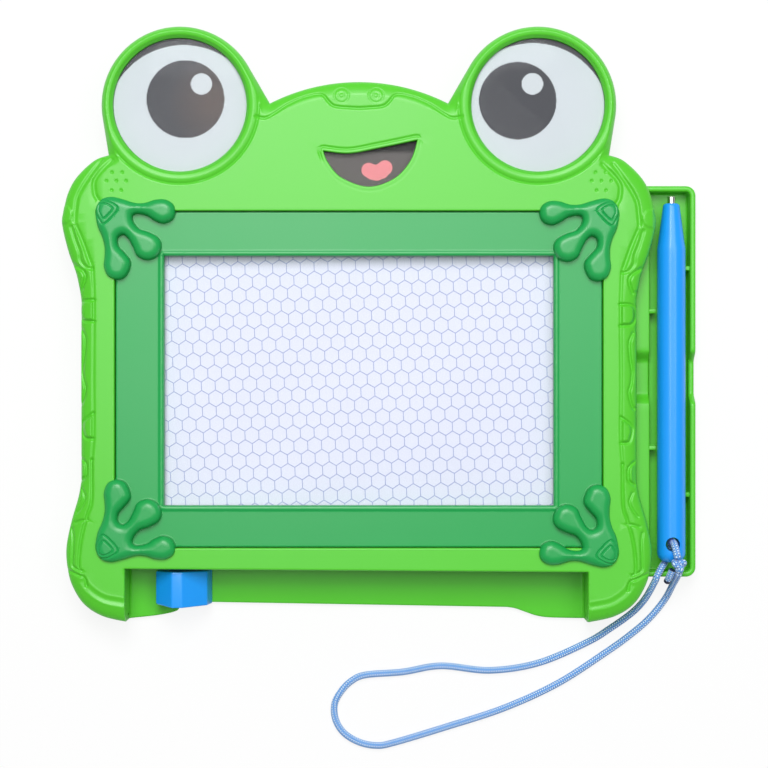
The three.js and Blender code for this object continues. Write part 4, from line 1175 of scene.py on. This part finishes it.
def tray_floor():
    """Floor of the tray with its two low ribs and its four pegs, as a height over a grid with close lines at
    every step."""
    left, low, right, high = TRAY_INNER
    bars = ((RIGHT_PEGS + LEFT_PEGS, PEG_HALF), (RIB_PLACES, RIB_HALF))
    steps = [p + side * half for places, half in bars for p in places for side in (-1, 1)]
    soft = [p + side * (half - BAR_ROUND) for places, half in bars for p in places for side in (-1, 1)]
    y = np.unique(np.concatenate([np.linspace(low, high, 60), paired(steps), soft]))
    edges = paired([RIGHT_PEG_X, LEFT_PEG_X, PEN_X - RIB_REACH, PEN_X + RIB_REACH])
    x = np.unique(np.concatenate([np.linspace(left - 0.1, right + 0.1, 14), edges]))
    rows = len(x)
    x, y = (a.ravel() for a in np.meshgrid(x, y, indexing="ij"))

    def bar(inside, places, half, top):
        near = np.min([np.abs(y - p) for p in places], axis=0)
        return np.where(inside & (near < half), top - rounding(half - near, BAR_ROUND), FLOOR_Z)

    z = np.max([
        bar(np.abs(x - PEN_X) < RIB_REACH, RIB_PLACES, RIB_HALF, RIB_TOP_Z),
        bar(x > RIGHT_PEG_X, RIGHT_PEGS, PEG_HALF, PEG_TOP_Z),
        bar(x < LEFT_PEG_X, LEFT_PEGS, PEG_HALF, PEG_TOP_Z),
    ], axis=0)
    return columns(x, y, z), grid_faces(rows, len(x) // rows)


def tray_strip():
    """Shelf between the case and the tray, rounded over and down to the tray's floor."""
    edge = TRAY_INNER[0]
    turn = np.linspace(0, np.pi / 2, 5)
    round_x = edge - SHELF_ROUND + SHELF_ROUND * np.sin(turn)
    round_z = PARTING_Z - SHELF_ROUND + SHELF_ROUND * np.cos(turn)
    x = np.concatenate([SHELF_X, round_x, [edge, edge + 0.15, edge + 0.5]])
    z = np.concatenate([[PARTING_Z] * 2, round_z, [FLOOR_Z + 0.5, FLOOR_Z + 0.15, FLOOR_Z]])
    scoop = np.linspace(SCOOP_Y - SCOOP_HALF, SCOOP_Y + SCOOP_HALF, 40)
    y = np.unique(np.concatenate([np.linspace(TRAY_INNER[1], TRAY_INNER[3], 60), scoop]))
    return strip([columns(a, y, scooped(y, b, PARTING_Z)) for a, b in zip(x, z)], closed=False)


def ledge_edge(x):
    """Place of the ledge's front edge for places across it: a smooth curve at each end and straight between."""
    curve = np.vstack([smooth_curve(LEDGE_EDGE_LEFT, 20), smooth_curve(LEDGE_EDGE_RIGHT, 20)])
    return np.interp(x - FROG_X, curve[:, 0], curve[:, 1])


ledge_x = LEDGE_X + np.unique(np.concatenate([
    LEDGE_HALF_WIDTH * np.sin(np.linspace(-np.pi / 2, np.pi / 2, 160)),
    np.linspace(-58, -54, 32),
    np.linspace(46, 60, 32),
]))


def ledge_back(x):
    """Place of the ledge's back wall, straight between its two ends."""
    return np.interp(x, [ledge_left[0], ledge_right[0]], [LEDGE_LEFT_Y, LEDGE_RIGHT_Y])


def ledge_floor():
    """Floor of the ledge from its back wall to its curved front edge, with a cove up to each end wall and a
    rounded edge down to the underside."""
    x = ledge_x
    rise = rounding(LEDGE_HALF_WIDTH - np.abs(x - LEDGE_X), COVE)
    edge = ledge_edge(x)
    turn = np.linspace(0, np.pi / 2, 5)
    rows = [(ledge_back(x), FLOOR_Z + rise)]
    for inset, drop in zip(0.5 * (1 - np.sin(turn)), 0.5 * (1 - np.cos(turn))):
        rows.append((edge + inset, FLOOR_Z + rise - drop))
    return strip([columns(x, y, z) for y, z in rows + [(edge, 0.0)]], closed=False)


def ledge_sill():
    """Low back wall of the ledge, under the slit that the eraser's neck goes through."""
    rows = [(0, FLOOR_Z), (0, SLIT_Z), (SILL_DEPTH, SLIT_Z), (SILL_DEPTH, FLOOR_Z)]
    return strip([columns(ledge_x, ledge_back(ledge_x) + depth, z) for depth, z in rows], closed=False)


def ledge_end(start, back, side):
    """End wall of the ledge, from the cove up to the parting line and in over the wall's top."""
    x, low = start
    y = np.linspace(low, back, 30)
    top = np.maximum(y, low + 1)
    rows = [(x, y, FLOOR_Z), (x, y, PARTING_Z), (x + side * WALL, top, PARTING_Z)]
    return strip([columns(*row) for row in rows], closed=False)


def case_side():
    """Outer side of the rear half, from the parting line down to a small bevel at the underside."""
    insets = [WALL, 0.12, 0.0, 0.0, 0.3, BASE_CHAMFER]
    heights = [PARTING_Z, PARTING_Z, PARTING_Z - 0.12, BASE_CHAMFER, 0.35, 0.0]
    return stacked(zip(beside(outline, insets).reshape(len(insets), -1, 2), heights), closed=False)


screw_places = [np.array(side[0]) for place in SCREWS for side in both_sides([place])]
base_loop = np.vstack([beside(outline, [BASE_CHAMFER]), columns(ledge_x, ledge_edge(ledge_x))[1:-1]])
tray_loop = np.vstack([tray_line(), [(TRAY[0], TRAY[1]), (TRAY[0], TRAY[3])]])
PANEL = (-62.0, -50.0, 49.0, 40.0)
PANEL_CORNER = 8.0
PANEL_DEPTH = 0.45
PANEL_GROOVE = (-3.5, 0.7, 0.3)
PANEL_ROWS = (0.0, -0.2, -0.4, -0.6, -0.8, -1.2, 2.6, 2.8, 3.1, 3.5, 3.9, 4.2, 4.5)


def under_height(points):
    """Underside: flat, with a shallow panel sunk in the middle and a shallow groove round it."""
    left, low, right, high = PANEL
    core = (left + PANEL_CORNER, low + PANEL_CORNER, right - PANEL_CORNER, high - PANEL_CORNER)
    panel = PANEL_CORNER - box_distance(points, core)
    return PANEL_DEPTH * soft_step(0, 0.8, panel) + bead(panel, *PANEL_GROOVE)


def on_base(points):
    """Under the case or the tray, and outside the screws' wells."""
    inside = within(points, base_loop) | within(points, tray_loop)
    for place in screw_places:
        inside &= np.hypot(*(points - place).T) > SCREW_WELL * 0.999
    return inside


def under_rows():
    """Rounded rectangles round the sunk panel at close distances."""
    left, low, right, high = PANEL
    turn = np.linspace(0, np.pi / 2, 10)
    rows = []
    for grow in PANEL_ROWS:
        arc = (PANEL_CORNER + grow) * on_circle(turn)
        c = PANEL_CORNER
        loop_points = np.vstack([
            (right - c, high - c) + arc,
            (left + c, high - c) + arc[::-1] * [-1, 1],
            (left + c, low + c) - arc,
            (right - c, low + c) + arc[::-1] * [1, -1],
        ])
        rows.append(even_steps(looped(loop_points), 1.0))
    return np.vstack(rows)


wells = [ring_loop(place, SCREW_WELL, 48) for place in screw_places]
under_points = np.vstack([under_rows(), grid_points(np.arange(-97, 97, 4.0), np.arange(-90, 91, 4.0))])
under_points = under_points[on_base(under_points)]
under, under_tris = filled_face([base_loop, tray_loop, *wells], under_points, on_base)
base = put_mesh(
    "tray_and_base",
    [
        (at_height(under, under_height(under)), under_tris[:, ::-1]),
        (at_height(under, INNER_FLOOR_Z), under_tris),
        case_side(),
        tray_wall(),
        tray_floor(),
        tray_strip(),
        ledge_floor(),
        ledge_sill(),
        ledge_end(outline[-1], LEDGE_LEFT_Y, -1),
        ledge_end(outline[0], LEDGE_RIGHT_Y, 1),
        *[stacked([(well, 0.0), (well, SCREW_HEAD_Z + 1.9)]) for well in wells],
    ],
    case_green,
)
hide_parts("rear_cover")
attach(base, "board")


# Case screws with a cross recess, seen from the back

def screw_head(place):
    """Domed head: a height over rings and turns, less a cross-shaped dip, with its side and a short shank."""
    radius = np.array([0, 0.25, 0.45, 0.6, 0.8, 1.0, 1.25, 1.5, 1.75, 2.0, 2.3, 2.6, 2.8, SCREW_HEAD])
    r, a = np.meshgrid(radius, full_turn(96), indexing="ij")
    x, y = r * np.cos(a), r * np.sin(a)
    arm = np.minimum(np.abs(x), np.abs(y))
    cross = (1 - soft_step(*CROSS_WIDTH, arm)) * (1 - soft_step(*CROSS_LENGTH, r))
    z = SCREW_HEAD_Z + SCREW_DOME * (r / SCREW_HEAD) ** 2 + CROSS_DEPTH * cross
    rows = [columns(place[0] + x[k], place[1] + y[k], z[k]) for k in range(len(radius))]
    rim = rows[-1] * [1, 1, 0] + [0, 0, SCREW_HEAD_Z + 1.8]
    return strip([*rows, rim])


for number, place in enumerate(screw_places, 1):
    screw = put_mesh(f"case_screw_{number}", [screw_head(place)], screw_metal)
    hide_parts(f"rear_screw_{number}")
    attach(screw, "board")


# Eyes: a printed disc under a clear domed cover

EYE_PRINT_Z = 13.75
EYE_COVER_LOW_Z = 14.05
EYE_COVER_EDGE_Z = 14.85
EYE_COVER_DOME = 0.8
EYE_COVER_ROUND = 0.25
EYE_PRINT_THICKNESS = 0.4
EYE_DISC = 20.4


def turned(name, place, profile, material, sides=160):
    """A round piece about an upright line: the profile's (radius, height) points carried round it."""
    return put_mesh(name, [stacked([(ring_loop(place, r, sides), z) for r, z in profile])], material)


print_low = EYE_PRINT_Z - EYE_PRINT_THICKNESS
print_profile = [(0, print_low), (EYE_DISC, print_low), (EYE_DISC, EYE_PRINT_Z), (10, EYE_PRINT_Z), (0, EYE_PRINT_Z)]
cover_profile = [(0, EYE_COVER_LOW_Z), (EYE_DISC, EYE_COVER_LOW_Z)]
cover_profile += [
    (EYE_DISC * s, EYE_COVER_EDGE_Z - EYE_COVER_ROUND * s**12 + EYE_COVER_DOME * (1 - s**2))
    for s in np.linspace(1, 0, 24)
]
for side, place in zip(("left", "right"), eye_places):
    printed = turned(f"eye_print_and_reflection_{side}", place, print_profile, eye_prints[side])
    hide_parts(f"eye_card_{side}")
    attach(printed, "board")
    cover = turned(f"eye_cover_{side}", place, cover_profile, window_clear)
    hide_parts(f"eye_window_{side}")
    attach(cover, "board")


# Slider knob: facets up to a ridge, the front end leaning to it, all edges rounded

KNOB_X = -60.6
KNOB_HALF = 8.75
KNOB_LOW_Z = 2.3
KNOB_SHOULDER_Z = 8.3
KNOB_TOP_Z = 13.3
KNOB_BACK_Y = -76.15
KNOB_EDGE = 0.45
section = [
    (-KNOB_HALF, KNOB_LOW_Z),
    (8.2, KNOB_LOW_Z),
    (7.1, KNOB_SHOULDER_Z),
    (-0.3, KNOB_TOP_Z),
    (-3.5, KNOB_TOP_Z),
    (-KNOB_HALF, KNOB_SHOULDER_Z),
]
front = [-86.4, -86.8, -86.8, -87.2, -87.2, -86.4]
shape = bmesh.new()
back_ring, front_ring = (
    [shape.verts.new(((KNOB_X + x) * MM, y * MM, z * MM)) for (x, z), y in zip(section, places)]
    for places in ([KNOB_BACK_Y] * len(section), front)
)
shape.faces.new(back_ring)
shape.faces.new(front_ring[::-1])
for i in range(len(section)):
    j = (i + 1) % len(section)
    shape.faces.new((back_ring[j], back_ring[i], front_ring[i], front_ring[j]))
bmesh.ops.recalc_face_normals(shape, faces=shape.faces)
edges = list(shape.edges)
bmesh.ops.bevel(shape, geom=edges, offset=KNOB_EDGE * MM, segments=4, profile=0.6, affect="EDGES")
knob = put("slider_knob", bpy.data.meshes.new("slider_knob"))
shape.to_mesh(knob.data)
shape.free()
knob.data.shade_smooth()
knob.data.set_sharp_from_angle(angle=math.radians(30))
knob.data.materials.append(pen_blue)
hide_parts("eraser_knob")
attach(knob, "eraser")


# Pen: a turned body with a cone, a small end face and a hole for the cord

PEN_Z = 9.56
PEN_END_Y = -73.3
PEN_LENGTH = 112.9
PEN_RADIUS = 4.36
PEN_END_ROUND = 3.0
PEN_CONE = 13.5
PEN_NOSE = 2.6
TIP_LENGTH = 2.2
TIP_RADIUS = 1.2
HOLE_Y = -67.6
HOLE_RADIUS = 2.2
# Height of the flat along the pen's top, as a share of its radius
FLAT_SHARE = 0.985


def along_pen(name, profile, material, sides=96):
    """A round piece about the pen's line: (distance from its end, radius) points, with a flat along its top."""
    across, up = on_circle(full_turn(sides)).T[::-1]
    rows = [columns(PEN_X + r * across, PEN_END_Y + y, PEN_Z + np.minimum(r * up, FLAT_SHARE * r)) for y, r in profile]
    return put_mesh(name, [strip(rows)], material)


def arc_points(middle, radius, first, last, steps):
    """Points of an arc in a profile's plane."""
    turn = np.radians(np.linspace(first, last, steps))
    return [(middle[0] + radius * math.cos(a), middle[1] + radius * math.sin(a)) for a in turn]


nose_y = PEN_LENGTH - TIP_LENGTH
shoulder_y = nose_y - PEN_CONE
cone_start = PEN_RADIUS - 0.36
body_profile = [(0, 0.0), (0, 0.8)]
body_profile += arc_points((PEN_END_ROUND, PEN_RADIUS - PEN_END_ROUND), PEN_END_ROUND, 180, 90, 12)
body_profile += [(y, PEN_RADIUS) for y in np.linspace(6, shoulder_y - 1.5, 40)]
body_profile += [(shoulder_y + y, PEN_RADIUS - drop) for y, drop in ((-0.7, 0.01), (0, 0.07), (0.8, 0.2))]
body_profile += [
    (shoulder_y + 1.8 + k * (PEN_CONE - 2.9) / 8, cone_start - k * (cone_start - PEN_NOSE) / 8) for k in range(9)
]
body_profile += arc_points((nose_y - 0.9, PEN_NOSE - 0.95), 0.9, 70, 0, 6)
body_profile += [(nose_y, TIP_RADIUS + 0.3), (nose_y - 2.0, TIP_RADIUS + 0.3)]
pen = along_pen("pen_body", body_profile, pen_blue)
drill = bmesh.new()
bmesh.ops.create_cone(
    drill, cap_ends=True, segments=48, radius1=HOLE_RADIUS * MM, radius2=HOLE_RADIUS * MM, depth=20 * MM
)
bmesh.ops.translate(drill, verts=drill.verts, vec=(PEN_X * MM, HOLE_Y * MM, PEN_Z * MM))
drill_tool = put("drill", bpy.data.meshes.new("drill"))
drill.to_mesh(drill_tool.data)
drill.free()
closing = bmesh.new()
closing.from_mesh(pen.data)
bmesh.ops.holes_fill(closing, edges=closing.edges)
bmesh.ops.recalc_face_normals(closing, faces=closing.faces)
closing.to_mesh(pen.data)
closing.free()
cut = pen.modifiers.new("cord_hole", "BOOLEAN")
cut.operation = "DIFFERENCE"
cut.object = drill_tool
cut.solver = "EXACT"
bored = bpy.data.meshes.new_from_object(pen.evaluated_get(bpy.context.evaluated_depsgraph_get()))
pen.modifiers.clear()
pen.data = bored
bored.set_sharp_from_angle(angle=math.radians(35))
bpy.data.objects.remove(drill_tool)
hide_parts("pen_barrel")
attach(pen, "pen")

tip_profile = [(nose_y - 1.9, 0.0), (nose_y - 1.9, TIP_RADIUS), (PEN_LENGTH - 0.35, TIP_RADIUS)]
tip_profile += arc_points((PEN_LENGTH - 0.35, TIP_RADIUS - 0.35), 0.35, 90, 0, 6)
tip_profile += [(PEN_LENGTH, 0.0)]
point = along_pen("pen_point", tip_profile, tip_metal, sides=48)
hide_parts("pen_tip")
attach(point, "pen")


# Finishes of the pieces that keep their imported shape

kept = {
    "screen_front_film": screen_gloss,
    "screen_edge_seal": seal_white,
    "screen_back_film": back_sheet,
    "mouth_window": window_clear,
    "mouth_card": mouth_card_print_and_shadow,
    "eraser_carrier": carrier_white,
    "eraser_magnet": magnet_black,
}
for name, material in kept.items():
    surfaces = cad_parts[name].data.materials
    surfaces.clear()
    surfaces.append(material)


# Floor and light

FLOOR_GLOW = 0.86
FLOOR_REACH = 3.0
FLOOR_CORNERS = ((-1, -1), (1, -1), (1, 1), (-1, 1))


def floor_material():
    """White to the camera with a faint shadow left in it, and a plain pale floor to everything else."""
    material, tree, surface = plain_material("floor_white", (0.86, 0.86, 0.86), 0.9)
    glow = feed(tree, "ShaderNodeEmission", {"Strength": 1.0})["Emission"]
    seen = feed(tree, "ShaderNodeLightPath", {})["Is Camera Ray"]
    share = reckon(tree, "MULTIPLY", seen, FLOOR_GLOW)
    blend = feed(tree, "ShaderNodeMixShader", {"Fac": share, 1: surface.outputs["BSDF"], 2: glow})
    feed(tree, tree.nodes["Material Output"], {"Surface": blend["Shader"]})
    return material


floor_mesh = bpy.data.meshes.new("floor")
floor_mesh.from_pydata([(x * FLOOR_REACH, y * FLOOR_REACH, 0) for x, y in FLOOR_CORNERS], [], [(0, 1, 2, 3)])
floor_mesh.materials.append(floor_material())
floor = put("floor", floor_mesh)


def area_light(name, place, size, power):
    """A square soft light at a place, turned towards the board's middle."""
    light = bpy.data.lights.new(name, "AREA")
    light.size = size
    light.energy = power
    lamp = put(name, light)
    lamp.location = place
    lamp.rotation_euler = (-Vector(place)).to_track_quat("-Z", "Y").to_euler()


area_light("key_light", (-0.05, 0.56, 1.05), 0.5, 9.0)
area_light("sheen_light", (-0.10, 0.10, 1.0), 0.38, 2.3)
area_light("right_light", (0.40, 0.15, 0.95), 0.4, 1.9)

world = bpy.data.worlds.new("world")
world.use_nodes = True
soft_light = world.node_tree.nodes["Background"]
soft_light.inputs["Color"].default_value = (1, 1, 1, 1)
soft_light.inputs["Strength"].default_value = 0.30
bpy.context.scene.world = world

bpy.context.scene.view_settings.view_transform = "Standard"
